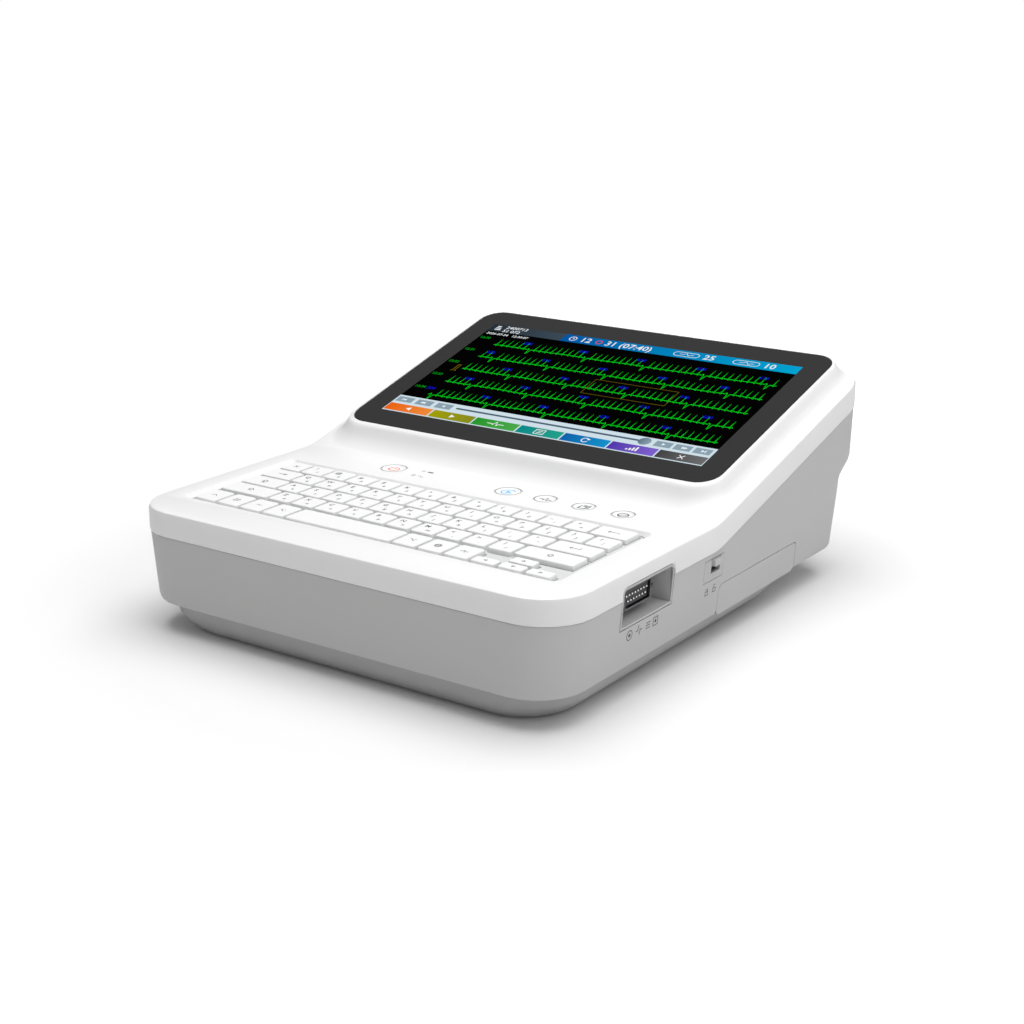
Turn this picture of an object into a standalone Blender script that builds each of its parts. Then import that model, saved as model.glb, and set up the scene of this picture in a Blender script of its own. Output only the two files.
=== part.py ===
"""Resting ECG machine: a table-top housing with a sloping touch screen, a keyboard and a side paper drawer.

Metres, +Z up. The origin is the middle of the footprint on the table. The operator works from the -Y side;
the patient socket, the latch and the paper drawer are on the +X side.
"""

import math

import bmesh
import bpy
from mathutils import Matrix, Vector

# Whole housing
WIDTH = 0.283
DEPTH = 0.3355
DECK_HEIGHT = 0.0705
CORNER_RADIUS = 0.028
CORNER_STEPS = 6
GAP = 0.0003
OVERRUN = 0.005

# Upper cover: a flat deck that bends up into a hood parallel to the screen
COVER_WALL = 0.0025
BAND_HEIGHT = 0.0142
EDGE_RADIUS = 0.0026
BEND_FROM_FRONT = 0.1515
BEND_BLEND = 0.007
BEND_SHARES = (-1, -0.33, 0.33, 1)
SCREEN_TILT = math.radians(15.16)
PARTING_STEP = 0.0003

# Screen: one dark pane over a flat panel display
GLASS_SIDE_MARGIN = 0.015
GLASS_REAR_MARGIN = 0.0144
GLASS_RADIUS = 0.013
GLASS_THICKNESS = 0.0016
GLASS_EDGE = 0.0004
GLASS_FROM_FRONT = 0.1677
GLASS_RISE = 0.0149
DISPLAY_SIDE_BORDER = 0.0085
DISPLAY_END_BORDER = 0.0075
DISPLAY_THICKNESS = 0.0062

# Raised surround that carries the pane: reach outside the pane and drop below it, as shares from foot to rim
SURROUND_DROP = 0.0103
SURROUND_FRONT_REACH = 0.021
SURROUND_SIDE_MARGIN = 0.0004
SURROUND_REAR_REACH = 0.0085
SURROUND_WALL_SHARE = 1.3
SURROUND_SHARES = (
    (1.06, 1.60),
    (1.00, 1.00),
    (0.78, 0.90),
    (0.54, 0.70),
    (0.36, 0.42),
    (0.24, 0.15),
    (0.18, 0.04),
    (0.13, 0.0),
)

# Lower case: a drafted tub with a set-back lower rear wall
CASE_WALL = 0.0025
CASE_BOTTOM_DROP = 0.0538
SIDE_DRAFT = math.radians(5.4)
FRONT_DRAFT = math.radians(0.7)
CASE_EDGE_RADIUS = 0.003
REAR_STEP = 0.0245
REAR_STEP_RISE = 0.0030
REAR_STEP_HEIGHT = 0.0140
REAR_DRAFT = math.radians(0.5)
REAR_LOW_RADIUS = 0.017

# Base pan under the case, and its feet
PAN_WALL = 0.0030
PAN_OUTER_SHARES = (1, 0.9, 0.7, 0.4, 0)
PAN_INNER_SHARES = (0, 0.4, 0.7)
PAN_FLOOR_SHARE = 0.8
PAN_INSET = 0.0045
PAN_FLARE = 0.0115
PAN_FRONT_FLARE = 0.0085
PAN_REAR_MARGIN = 0.0685
PAN_RADIUS = 0.036
FOOT_RADIUS = 0.0075
FOOT_HEIGHT = 0.0022
FOOT_SEAT = 0.0012
FOOT_EDGE = 0.0009
FOOT_INSET = 0.017

# Battery under the front of the deck, behind a screwed door in the base pan
BATTERY_SIZE = (0.084, 0.052, 0.0205)
BATTERY_EDGE = 0.0025
BATTERY_FROM_SIDE = 0.0835
BATTERY_FROM_FRONT = 0.080
DOOR_MARGIN = 0.006
DOOR_THICKNESS = 0.0016
BAY_CLEARANCE = 0.0006

# Keyboard
KEYS_IN_ROW = 14.41
FIRST_KEY_SHARES = (0.94, 1.39, 1.62, 2.14)
KEY_GAP = 0.0016
KEY_ROW_PITCH = 0.01645
KEY_DEPTH = 0.0148
FRONT_ROW_DEPTH = 0.0176
KEYS_LEFT_MARGIN = 0.0203
KEYS_RIGHT_MARGIN = 0.0269
KEYS_FROM_FRONT = 0.0306
KEY_HEIGHT = 0.0047
KEY_TAPER = 0.0003
KEY_RADIUS = 0.0013
KEY_EDGE = 0.0003
KEY_TRAVEL = 0.0015
KEY_CLEARANCE = 0.00035
WELL_MARGIN = 0.0034
WELL_SLOPE = 0.0030
WELL_RADIUS = 0.004
PLATE_THICKNESS = 0.0014
PLATE_LAP = 0.004
KEY_BOARD_THICKNESS = 0.0016
KEY_PAD_RADIUS = 0.0014
KEY_PAD_SHARES = (0.02, 0.5, 0.98)

# Round function buttons and indicator lights on the deck
BUTTON_LINE_FROM_FRONT = 0.1376
LARGE_BUTTON_RADIUS = 0.00775
SMALL_BUTTON_RADIUS = 0.0067
BUTTON_PITCH = 0.025
FIRST_BUTTON_X = 0.0156
POWER_BUTTON_X = -0.0654
BUTTON_TRAVEL = 0.0008
BUTTON_FLANGE = 0.0012
BUTTON_STEM_RADIUS = 0.0022
BUTTON_DISH = 0.0004
BUTTON_DISH_SHARES = (0.80, 0.72)
BUTTON_BOARD_CLEARANCE = 0.0009
BUTTON_POST_RADIUS = 0.0011
LIGHT_RADIUS = 0.0011
LIGHT_X = -0.0475
LIGHT_SPACING = 0.0097
LIGHT_LENGTH = 0.0052
LIGHT_EDGE = 0.0003
LAMP_RADIUS = 0.0014
BUTTON_BOARD_THICKNESS = 0.0016
BUTTON_BOARD_DEPTH = 0.019

# Patient socket in its well on the right side
SOCKET_FROM_FRONT = 0.0805
SOCKET_WELL_WIDTH = 0.0475
SOCKET_WELL_TOP_DROP = 0.0090
SOCKET_WELL_BOTTOM_DROP = 0.0290
SOCKET_WELL_DEPTH = 0.0145
SOCKET_WELL_WALL = 0.0013
SOCKET_WIDTH = 0.0270
SOCKET_HEIGHT = 0.0112
SOCKET_SLANT = 0.0011
SOCKET_REACH = 0.0060
SOCKET_SHELL_WALL = 0.0009
SOCKET_FLANGE = (0.0392, 0.0125, 0.0012)
SOCKET_BODY_DEPTH = 0.0075

# Drawer latch
LATCH_FROM_FRONT = 0.1486
LATCH_WIDTH = 0.0202
LATCH_HEIGHT = 0.0124
LATCH_TOP_DROP = 0.0176
TAB_WIDTH = 0.0090
TAB_HEIGHT = 0.0034
TAB_REACH = 0.0019
TAB_FROM_EDGE = 0.0037
LATCH_TRAVEL = 0.0040
LATCH_PLATE_THICKNESS = 0.0022
LATCH_LEG = 0.0024
LATCH_LEG_CLEARANCE = 0.0012
TAB_CLEARANCE = 0.0006

# Paper drawer
DRAWER_NEAR = 0.1575
DRAWER_REAR_MARGIN = 0.0865
DRAWER_TOP_DROP = 0.0360
DRAWER_PANEL = 0.0030
DRAWER_LENGTH = 0.098
DRAWER_WALL = 0.0018
DRAWER_SIDE_GAP = 0.0042
DRAWER_WALL_HEIGHT = 0.0145
DRAWER_CORNER = 0.0035
RUNNER_THICKNESS = 0.0016
RUNNER_HEIGHT = 0.0052
PAPER_HEIGHT = 0.0070
PAPER_MARGIN = 0.0012

# Printer above the drawer
PLATEN_RADIUS = 0.0060
PLATEN_FROM_SIDE = 0.0245
PLATEN_HEIGHT = 0.0432
SHAFT_RADIUS = 0.0025
CHEEK_THICKNESS = 0.0018
CHEEK_CLEARANCE = 0.0006
CHEEK_LENGTH = 0.040
CHEEK_HEIGHT = 0.0350
HEAD_WIDTH = 0.018
HEAD_THICKNESS = 0.0022
HEAT_SINK_WIDTH = 0.0060
GEAR_MODULE = 0.0008
TOOTH_TIP_SHARE = 0.9
TOOTH_ROOT_SHARE = 1.2
TOOTH_FLANK_SHARES = (0.28, 0.10)
PLATEN_TEETH = 30
PINION_TEETH = 12
GEAR_THICKNESS = 0.0036
MOTOR_RADIUS = 0.0080
MOTOR_LENGTH = 0.0190
MOTOR_SHAFT_RADIUS = 0.0010

# Boards and power
BOARD_THICKNESS = 0.0016
MAIN_BOARD_DEPTH = 0.112
MAIN_BOARD_HEIGHT = 0.0580
MAIN_BOARD_SIDE_MARGIN = 0.0155
MAIN_BOARD_REAR_MARGIN = 0.0390
MAIN_BOARD_DRAWER_MARGIN = 0.0065
POST_RADIUS = 0.0034
POST_TOP_SHARE = 0.8
POST_INSET = 0.006
SUPPLY_SIZE = (0.064, 0.096)
SUPPLY_INLET_GAP = 0.0015
SUPPLY_HEIGHT = 0.0240
MAIN_BOARD_BLOCKS = (
    (0.25, 0.55, 0.022, 0.022, 0.0016),
    (0.58, 0.70, 0.014, 0.014, 0.0016),
    (0.58, 0.35, 0.019, 0.013, 0.0016),
    (0.82, 0.45, 0.013, 0.032, 0.0024),
    (0.45, 0.88, 0.035, 0.0065, 0.0040),
)
SUPPLY_BLOCKS = (
    (0.28, 0.25, 0.0255, 0.0270, 0.0215),
    (0.75, 0.30, 0.0190, 0.0325, 0.0170),
    (0.32, 0.72, 0.0220, 0.0155, 0.0185),
    (0.72, 0.72, 0.0180, 0.0210, 0.0140),
)
INLET_X = -0.062
INLET_HEIGHT = 0.0350
INLET_SIZE = (0.0275, 0.0200)
INLET_DEPTH = 0.0160
INLET_FLANGE = (0.0340, 0.0255, 0.0022)
INLET_CAVITY = (0.0240, 0.0165, 0.0130)
INLET_CORNER = 0.0045
BLADE_SIZE = (0.0020, 0.0040)
BLADE_REACH = 0.0100
BLADE_SPACING = 0.0070
BLADE_LIFT_SHARES = (-0.25, 0.4, -0.25)
PORT_X = 0.020
PORT_HEIGHT = 0.0350
PORT_PITCH = 0.0200
PORT_SIZES = ((0.0138, 0.0060), (0.0138, 0.0060), (0.0126, 0.0088))
PORT_CAVITY_DEPTH = 0.0100
PORT_BLOCK_MARGIN = 0.0026
PORT_BLOCK_DEPTH = 0.0150
STUD_X = 0.088
STUD_RADIUS = 0.0030
STUD_REACH = 0.0090
STUD_COLLAR = 0.0052
STUD_COLLAR_THICKNESS = 0.0018

# Loudspeaker behind slots in the base pan
SPEAKER_RADIUS = 0.018
SPEAKER_DEPTH = 0.0075
SPEAKER_SHARES = ((1.0, 0.0), (1.0, 0.25), (0.9, 0.35), (0.45, 0.75), (0.45, 1.0))
SPEAKER_FROM_SIDE = 0.0715
SOUND_SLOT_PITCH = 0.0060
SOUND_SLOT_SHARES = (0.5, 0.75, 0.75, 0.75, 0.5)
SPEAKER_FROM_FRONT = 0.070

# Cooling slots in the left side of the case
VENT_COUNT = 9
VENT_PITCH = 0.0065
VENT_SIZE = (0.0026, 0.0120)
VENT_FROM_FRONT = 0.205
VENT_HEIGHT = 0.0265

FRONT = -DEPTH / 2
REAR = DEPTH / 2
HALF_WIDTH = WIDTH / 2
GLASS_WIDTH = WIDTH - 2 * GLASS_SIDE_MARGIN
GLASS_HEIGHT = (DEPTH - GLASS_FROM_FRONT - GLASS_REAR_MARGIN) / math.cos(SCREEN_TILT)
DISPLAY_WIDTH = GLASS_WIDTH - 2 * DISPLAY_SIDE_BORDER
DISPLAY_HEIGHT = GLASS_HEIGHT - 2 * DISPLAY_END_BORDER
KEYS_LEFT = KEYS_LEFT_MARGIN - HALF_WIDTH
KEYS_RIGHT = HALF_WIDTH - KEYS_RIGHT_MARGIN
KEY_PITCH = (KEYS_RIGHT - KEYS_LEFT + KEY_GAP) / KEYS_IN_ROW
BATTERY_CENTRE_X = BATTERY_FROM_SIDE - HALF_WIDTH
SPEAKER_X = HALF_WIDTH - SPEAKER_FROM_SIDE
DRAWER_FAR = DEPTH - DRAWER_REAR_MARGIN
CASE_BOTTOM = DECK_HEIGHT - CASE_BOTTOM_DROP
CASE_FLOOR = CASE_BOTTOM + CASE_WALL
PAN_TOP = CASE_BOTTOM - GAP
PAN_BOTTOM = FOOT_HEIGHT - FOOT_SEAT
BEND_Y = FRONT + BEND_FROM_FRONT

COLOURS = {
    "cover_white": ((0.86, 0.87, 0.88), 0.42, 0.0),
    "case_grey": ((0.42, 0.42, 0.43), 0.50, 0.0),
    "pan_grey": ((0.27, 0.27, 0.28), 0.55, 0.0),
    "glass_black": ((0.030, 0.030, 0.032), 0.08, 0.0),
    "key_white": ((0.84, 0.84, 0.84), 0.48, 0.0),
    "rubber": ((0.03, 0.03, 0.03), 0.80, 0.0),
    "metal": ((0.62, 0.62, 0.63), 0.30, 1.0),
    "board_green": ((0.02, 0.14, 0.06), 0.50, 0.0),
    "dark_plastic": ((0.05, 0.05, 0.055), 0.45, 0.0),
    "paper": ((0.90, 0.88, 0.86), 0.80, 0.0),
    "light_pipe": ((0.75, 0.85, 0.78), 0.25, 0.0),
}


def clear_scene():
    """Removes whatever the scene holds."""
    for obj in list(bpy.data.objects):
        bpy.data.objects.remove(obj, do_unlink=True)


def material(name):
    """The named finish, made once."""
    found = bpy.data.materials.get(name)
    if found:
        return found
    colour, roughness, metallic = COLOURS[name]
    made = bpy.data.materials.new(name)
    made.use_nodes = True
    shader = made.node_tree.nodes["Principled BSDF"]
    shader.inputs["Base Color"].default_value = (*colour, 1.0)
    shader.inputs["Roughness"].default_value = roughness
    shader.inputs["Metallic"].default_value = metallic
    return made


def add_object(name, mesh, finish, location=(0, 0, 0), smooth_angle=math.radians(35)):
    """Links a mesh as one object with its finish, moved so that its origin lies at location."""
    obj = bpy.data.objects.new(name, mesh)
    place = Vector(location)
    mesh.transform(Matrix.Translation(-place))
    obj.location = place
    mesh.materials.clear()
    mesh.materials.append(material(finish))
    mesh.shade_smooth()
    mesh.set_sharp_from_angle(angle=smooth_angle)
    bpy.context.scene.collection.objects.link(obj)
    return obj


def mesh_from(name, points, faces):
    """A mesh from points and faces, with its normals turned outwards."""
    mesh = bpy.data.meshes.new(name)
    mesh.from_pydata([tuple(p) for p in points], [], faces)
    build = bmesh.new()
    build.from_mesh(mesh)
    bmesh.ops.recalc_face_normals(build, faces=build.faces)
    build.to_mesh(mesh)
    build.free()
    return mesh


def loft(name, rings, ladder_caps=False):
    """Joins rings of equal length and closes both ends, with a ladder of strips where a cap bends."""
    count = len(rings[0])
    points = [p for ring in rings for p in ring]
    faces = []
    for level in range(len(rings) - 1):
        low = level * count
        high = low + count
        for i in range(count):
            j = (i + 1) % count
            faces.append((low + i, low + j, high + j, high + i))
    last = (len(rings) - 1) * count
    for start in (0, last):
        if ladder_caps:
            for i in range(count // 2 - 1):
                faces.append((start + i, start + i + 1, start + count - 2 - i, start + count - 1 - i))
        else:
            faces.append(tuple(range(start, start + count)))
    return mesh_from(name, points, faces)


def box_mesh(name, low, high):
    """An upright box between two corners."""
    (x0, y0, z0), (x1, y1, z1) = low, high
    rings = [[(x0, y0, z), (x1, y0, z), (x1, y1, z), (x0, y1, z)] for z in (z0, z1)]
    return loft(name, rings)


def centred_box(name, centre, size):
    """An upright box about a centre."""
    low = [c - s / 2 for c, s in zip(centre, size)]
    high = [c + s / 2 for c, s in zip(centre, size)]
    return box_mesh(name, low, high)


def turned(name, profile, steps, axis_point, axis="Z"):
    """A solid of revolution from (radius, distance) pairs along an axis through axis_point."""
    rings = []
    for radius, along in profile:
        ring = []
        for i in range(steps):
            angle = math.tau * i / steps
            u = radius * math.cos(angle)
            v = radius * math.sin(angle)
            offset = {"Z": (u, v, along), "Y": (v, along, u), "X": (along, u, v)}[axis]
            ring.append(tuple(a + o for a, o in zip(axis_point, offset)))
        rings.append(ring)
    return loft(name, rings)


def rounded_rectangle(x0, x1, y0, y1, radius, steps):
    """Corner points of a rounded rectangle, anticlockwise from its lower right corner."""
    ring = []
    left, right = x0 + radius, x1 - radius
    near, far = y0 + radius, y1 - radius
    centres = ((right, near), (right, far), (left, far), (left, near))
    for corner, (cx, cy) in enumerate(centres):
        for i in range(steps + 1):
            angle = math.radians(90) * (corner - 1 + i / steps)
            ring.append((cx + radius * math.cos(angle), cy + radius * math.sin(angle)))
    return ring


def joined(name, meshes):
    """Several meshes as one, for a cutter or a set of pieces that a union joins."""
    build = bmesh.new()
    for mesh in meshes:
        build.from_mesh(mesh)
        bpy.data.meshes.remove(mesh)
    mesh = bpy.data.meshes.new(name)
    build.to_mesh(mesh)
    build.free()
    return mesh


def helper(name, mesh):
    """A hidden object that only shapes another."""
    obj = bpy.data.objects.new(name, mesh)
    bpy.context.scene.collection.objects.link(obj)
    obj.hide_render = True
    obj.display_type = "WIRE"
    return obj


def shape_with(target, operation, name, mesh):
    """Adds a Boolean that cuts, joins or keeps the shared part of target and a helper mesh."""
    tool = helper(f"{target.name}_{name}", mesh)
    step = target.modifiers.new(name, "BOOLEAN")
    step.operation = operation
    step.solver = "EXACT"
    step.use_self = operation == "UNION"
    step.object = tool
    return target


def deck_rise(y):
    """Height of the hood's plane over the deck at y, with a short curve where the two meet."""
    slope = math.tan(SCREEN_TILT)
    past = y - BEND_Y
    if past <= -BEND_BLEND:
        return 0.0
    if past >= BEND_BLEND:
        return slope * past
    return slope * (past + BEND_BLEND) ** 2 / (4 * BEND_BLEND)


def side_stations():
    """Places along the sides where the deck's curve needs points."""
    return [BEND_Y + BEND_BLEND * share for share in BEND_SHARES]


def plan_outline(half_width, front, rear, front_radius, rear_radius):
    """The housing's plan: the right half from front to rear, then the left half back again."""
    right = []
    corners = ((0, front + front_radius, front_radius), (1, rear - rear_radius, rear_radius))
    for corner, centre_y, radius in corners:
        for i in range(CORNER_STEPS + 1):
            angle = math.radians(90) * (corner - 1 + i / CORNER_STEPS)
            x = half_width - radius + radius * math.cos(angle)
            right.append((x, centre_y + radius * math.sin(angle)))
        if corner == 0:
            right.extend((half_width, y) for y in side_stations())
    left = [(-x, y) for x, y in reversed(right)]
    return right + left


def cover_ring(inset, drop):
    """A ring of the cover, set in from the plan and below the deck line."""
    radius = CORNER_RADIUS - inset
    outline = plan_outline(HALF_WIDTH - inset, FRONT + inset, REAR - inset, radius, radius)
    return [(x, y, DECK_HEIGHT + deck_rise(y) - drop) for x, y in outline]


def screen_point(x, along, out):
    """World point from the pane's frame: across, up the slope from its lower edge, and out of its face."""
    y = FRONT + GLASS_FROM_FRONT + along * math.cos(SCREEN_TILT) - out * math.sin(SCREEN_TILT)
    z = DECK_HEIGHT + GLASS_RISE + along * math.sin(SCREEN_TILT) + out * math.cos(SCREEN_TILT)
    return (x, y, z)


def screen_ring(side, front, rear, out, radius=GLASS_RADIUS):
    """A ring round the pane, wider than it by the three reaches."""
    reach = GLASS_WIDTH / 2 + side
    outline = rounded_rectangle(-reach, reach, -front, GLASS_HEIGHT + rear, radius, CORNER_STEPS)
    return [screen_point(x, along, out) for x, along in outline]


def screen_block(name, width, height, low, high, radius):
    """A slab parallel to the pane and centred on it."""
    low_edge = (GLASS_HEIGHT - height) / 2
    outline = rounded_rectangle(-width / 2, width / 2, low_edge, low_edge + height, radius, CORNER_STEPS)
    return loft(name, [[screen_point(x, along, out) for x, along in outline] for out in (low, high)])


def surround_rings(shrink, lower):
    """The surround's rings from foot to rim; shrink and lower make the hollow under it."""
    side = HALF_WIDTH - EDGE_RADIUS - SURROUND_SIDE_MARGIN - GLASS_WIDTH / 2
    rings = []
    for reach, drop in SURROUND_SHARES:
        out = -drop * SURROUND_DROP - lower
        if lower and out > -(seat_depth() + COVER_WALL):
            break
        radius = GLASS_RADIUS + reach * side - shrink
        front = reach * SURROUND_FRONT_REACH - shrink
        rear = reach * SURROUND_REAR_REACH - shrink
        rings.append(screen_ring(reach * side - shrink, front, rear, out, radius))
    return rings


def seat_depth():
    """Depth of the pane's seat in the cover."""
    return GLASS_THICKNESS + GAP


def keys_rear():
    """Distance of the keyboard's rear edge from the front."""
    return KEYS_FROM_FRONT + FRONT_ROW_DEPTH + KEY_GAP + 4 * KEY_ROW_PITCH


def keyboard_opening(margin, z):
    """A ring round the keys, wider than them by margin, at height z."""
    near = FRONT + KEYS_FROM_FRONT - margin / 2
    far = FRONT + keys_rear() + margin / 2
    outline = rounded_rectangle(KEYS_LEFT - margin, KEYS_RIGHT + margin, near, far, WELL_RADIUS, 3)
    return [(x, y, z) for x, y in outline]


def button_places():
    """Each round button's name, place across the deck and radius."""
    places = [("power_button", POWER_BUTTON_X, LARGE_BUTTON_RADIUS)]
    places.append(("auto_button", FIRST_BUTTON_X, LARGE_BUTTON_RADIUS))
    for i, name in enumerate(("rhythm_button", "copy_button", "escape_button")):
        places.append((name, FIRST_BUTTON_X + (i + 1) * BUTTON_PITCH, SMALL_BUTTON_RADIUS))
    return places


def light_places():
    """Each indicator light's name and place on the deck."""
    y = FRONT + BUTTON_LINE_FROM_FRONT
    reach = LIGHT_SPACING / 2
    return [("battery_light", LIGHT_X, y + reach), ("mains_light", LIGHT_X, y - reach)]


def side_x(z):
    """Half width of the lower case's outer face at height z."""
    top = DECK_HEIGHT - BAND_HEIGHT
    return HALF_WIDTH - PARTING_STEP - max(0.0, top - z) * math.tan(SIDE_DRAFT)


def step_share(z):
    """How far the rear wall has stepped in at height z: 0 above the step and 1 below it."""
    share = min(1.0, max(0.0, (DECK_HEIGHT + REAR_STEP_RISE - z) / REAR_STEP_HEIGHT))
    return share * share * (3 - 2 * share)


def rear_y(z):
    """The lower case's rear face at height z: an overhang above, a step in, and a set-back wall below."""
    top = DECK_HEIGHT + deck_rise(REAR) - BAND_HEIGHT
    return REAR - PARTING_STEP - max(0.0, top - z) * math.tan(REAR_DRAFT) - REAR_STEP * step_share(z)


def rear_radius(z):
    """Radius of the lower case's rear corners at height z."""
    return CORNER_RADIUS + (REAR_LOW_RADIUS - CORNER_RADIUS) * step_share(z)


def case_levels():
    """Shares of the way up the case's wall, with close levels at the bottom edge and at the rear step."""
    top = DECK_HEIGHT + deck_rise(REAR) - BAND_HEIGHT
    height = top - CASE_BOTTOM
    step_top = DECK_HEIGHT + REAR_STEP_RISE
    levels = [0.0]
    for i in range(6):
        levels.append((step_top - REAR_STEP_HEIGHT * (1 - i / 5) - CASE_BOTTOM) / height)
    levels.append(1.0)
    return levels


def case_ring(share, inset, lift, top_gap):
    """A ring of the case's wall at a share of its height, set in by inset."""
    ring = []
    reference = plan_outline(HALF_WIDTH, FRONT, REAR, CORNER_RADIUS, CORNER_RADIUS)
    for index, (x, y) in enumerate(reference):
        for _ in range(3):
            top = DECK_HEIGHT + deck_rise(y) - BAND_HEIGHT - top_gap
            z = CASE_BOTTOM + lift + share * (top - CASE_BOTTOM - lift)
            front = FRONT + PARTING_STEP + max(0.0, top - z) * math.tan(FRONT_DRAFT)
            rear = rear_y(z) - inset
            radii = (CORNER_RADIUS - inset, rear_radius(z) - inset)
            outline = plan_outline(side_x(z) - inset, front + inset, rear, *radii)
            x, y = outline[index]
        ring.append((x, y, z))
    return ring


def side_patch(name, near, far, low, high, inner, outer, radius=0.0):
    """A plate on the right side between two depths from the drafted face, positive outwards."""
    y0 = FRONT + near
    y1 = FRONT + far
    rings = []
    for depth in (inner, outer):
        if radius:
            outline = rounded_rectangle(y0, y1, low, high, radius, 2)
        else:
            outline = [(y0, low), (y1, low), (y1, high), (y0, high)]
        rings.append([(side_x(z) + depth, y, z) for y, z in outline])
    return loft(name, rings)


def drawer_top():
    """Height of the drawer panel's upper edge."""
    return DECK_HEIGHT - DRAWER_TOP_DROP


def make_upper_cover():
    """The white cover: deck, hood, raised surround and the openings in them."""
    middle = math.sin(math.radians(45))
    rings = [
        cover_ring(0, BAND_HEIGHT),
        cover_ring(0, EDGE_RADIUS),
        cover_ring(EDGE_RADIUS * (1 - middle), EDGE_RADIUS * (1 - middle)),
        cover_ring(EDGE_RADIUS, 0),
    ]
    cover = add_object("upper_cover", loft("upper_cover", rings, ladder_caps=True), "cover_white")
    shape_with(cover, "UNION", "surround", loft("surround", surround_rings(0, 0)))
    hollow = [cover_ring(COVER_WALL, BAND_HEIGHT + OVERRUN), cover_ring(COVER_WALL, COVER_WALL)]
    shape_with(cover, "DIFFERENCE", "hollow", loft("hollow", hollow, ladder_caps=True))
    under = surround_rings(SURROUND_WALL_SHARE * COVER_WALL, COVER_WALL)
    shape_with(cover, "DIFFERENCE", "surround_hollow", loft("surround_hollow", under))
    play = 2 * GAP
    radius = GLASS_RADIUS + GAP
    seat = screen_block("seat", GLASS_WIDTH + play, GLASS_HEIGHT + play, -seat_depth(), OVERRUN, radius)
    shape_with(cover, "DIFFERENCE", "seat", seat)
    low = -SURROUND_DROP - OVERRUN
    window = screen_block("window", DISPLAY_WIDTH + play, DISPLAY_HEIGHT + play, low, OVERRUN, COVER_WALL)
    shape_with(cover, "DIFFERENCE", "window", window)
    low = DECK_HEIGHT - COVER_WALL - OVERRUN
    opening = [
        keyboard_opening(WELL_MARGIN, low),
        keyboard_opening(WELL_MARGIN, DECK_HEIGHT - COVER_WALL),
        keyboard_opening(WELL_MARGIN + WELL_SLOPE, DECK_HEIGHT),
        keyboard_opening(WELL_MARGIN + WELL_SLOPE, DECK_HEIGHT + OVERRUN),
    ]
    shape_with(cover, "DIFFERENCE", "keyboard_opening", loft("keyboard_opening", opening))
    holes = []
    y = FRONT + BUTTON_LINE_FROM_FRONT
    for name, x, radius in button_places():
        profile = [(radius + GAP, -COVER_WALL - OVERRUN), (radius + GAP, OVERRUN)]
        holes.append(turned(name, profile, 24, (x, y, DECK_HEIGHT)))
    for name, x, light_y in light_places():
        profile = [(LIGHT_RADIUS + GAP, -COVER_WALL - OVERRUN), (LIGHT_RADIUS + GAP, OVERRUN)]
        holes.append(turned(name, profile, 12, (x, light_y, DECK_HEIGHT)))
    shape_with(cover, "DIFFERENCE", "deck_holes", joined("deck_holes", holes))
    shape_with(cover, "DIFFERENCE", "socket_notch", socket_cutter())
    return cover


def socket_cutter():
    """The space that the socket's well takes from the cover and the case."""
    margin = SOCKET_WELL_WALL + GAP
    low = DECK_HEIGHT - SOCKET_WELL_BOTTOM_DROP - margin
    high = DECK_HEIGHT - SOCKET_WELL_TOP_DROP + margin
    y = FRONT + SOCKET_FROM_FRONT
    reach = SOCKET_WELL_WIDTH / 2 + margin
    back = HALF_WIDTH - SOCKET_WELL_DEPTH
    return box_mesh("socket_cutter", (back, y - reach, low), (HALF_WIDTH + OVERRUN, y + reach, high))


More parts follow.
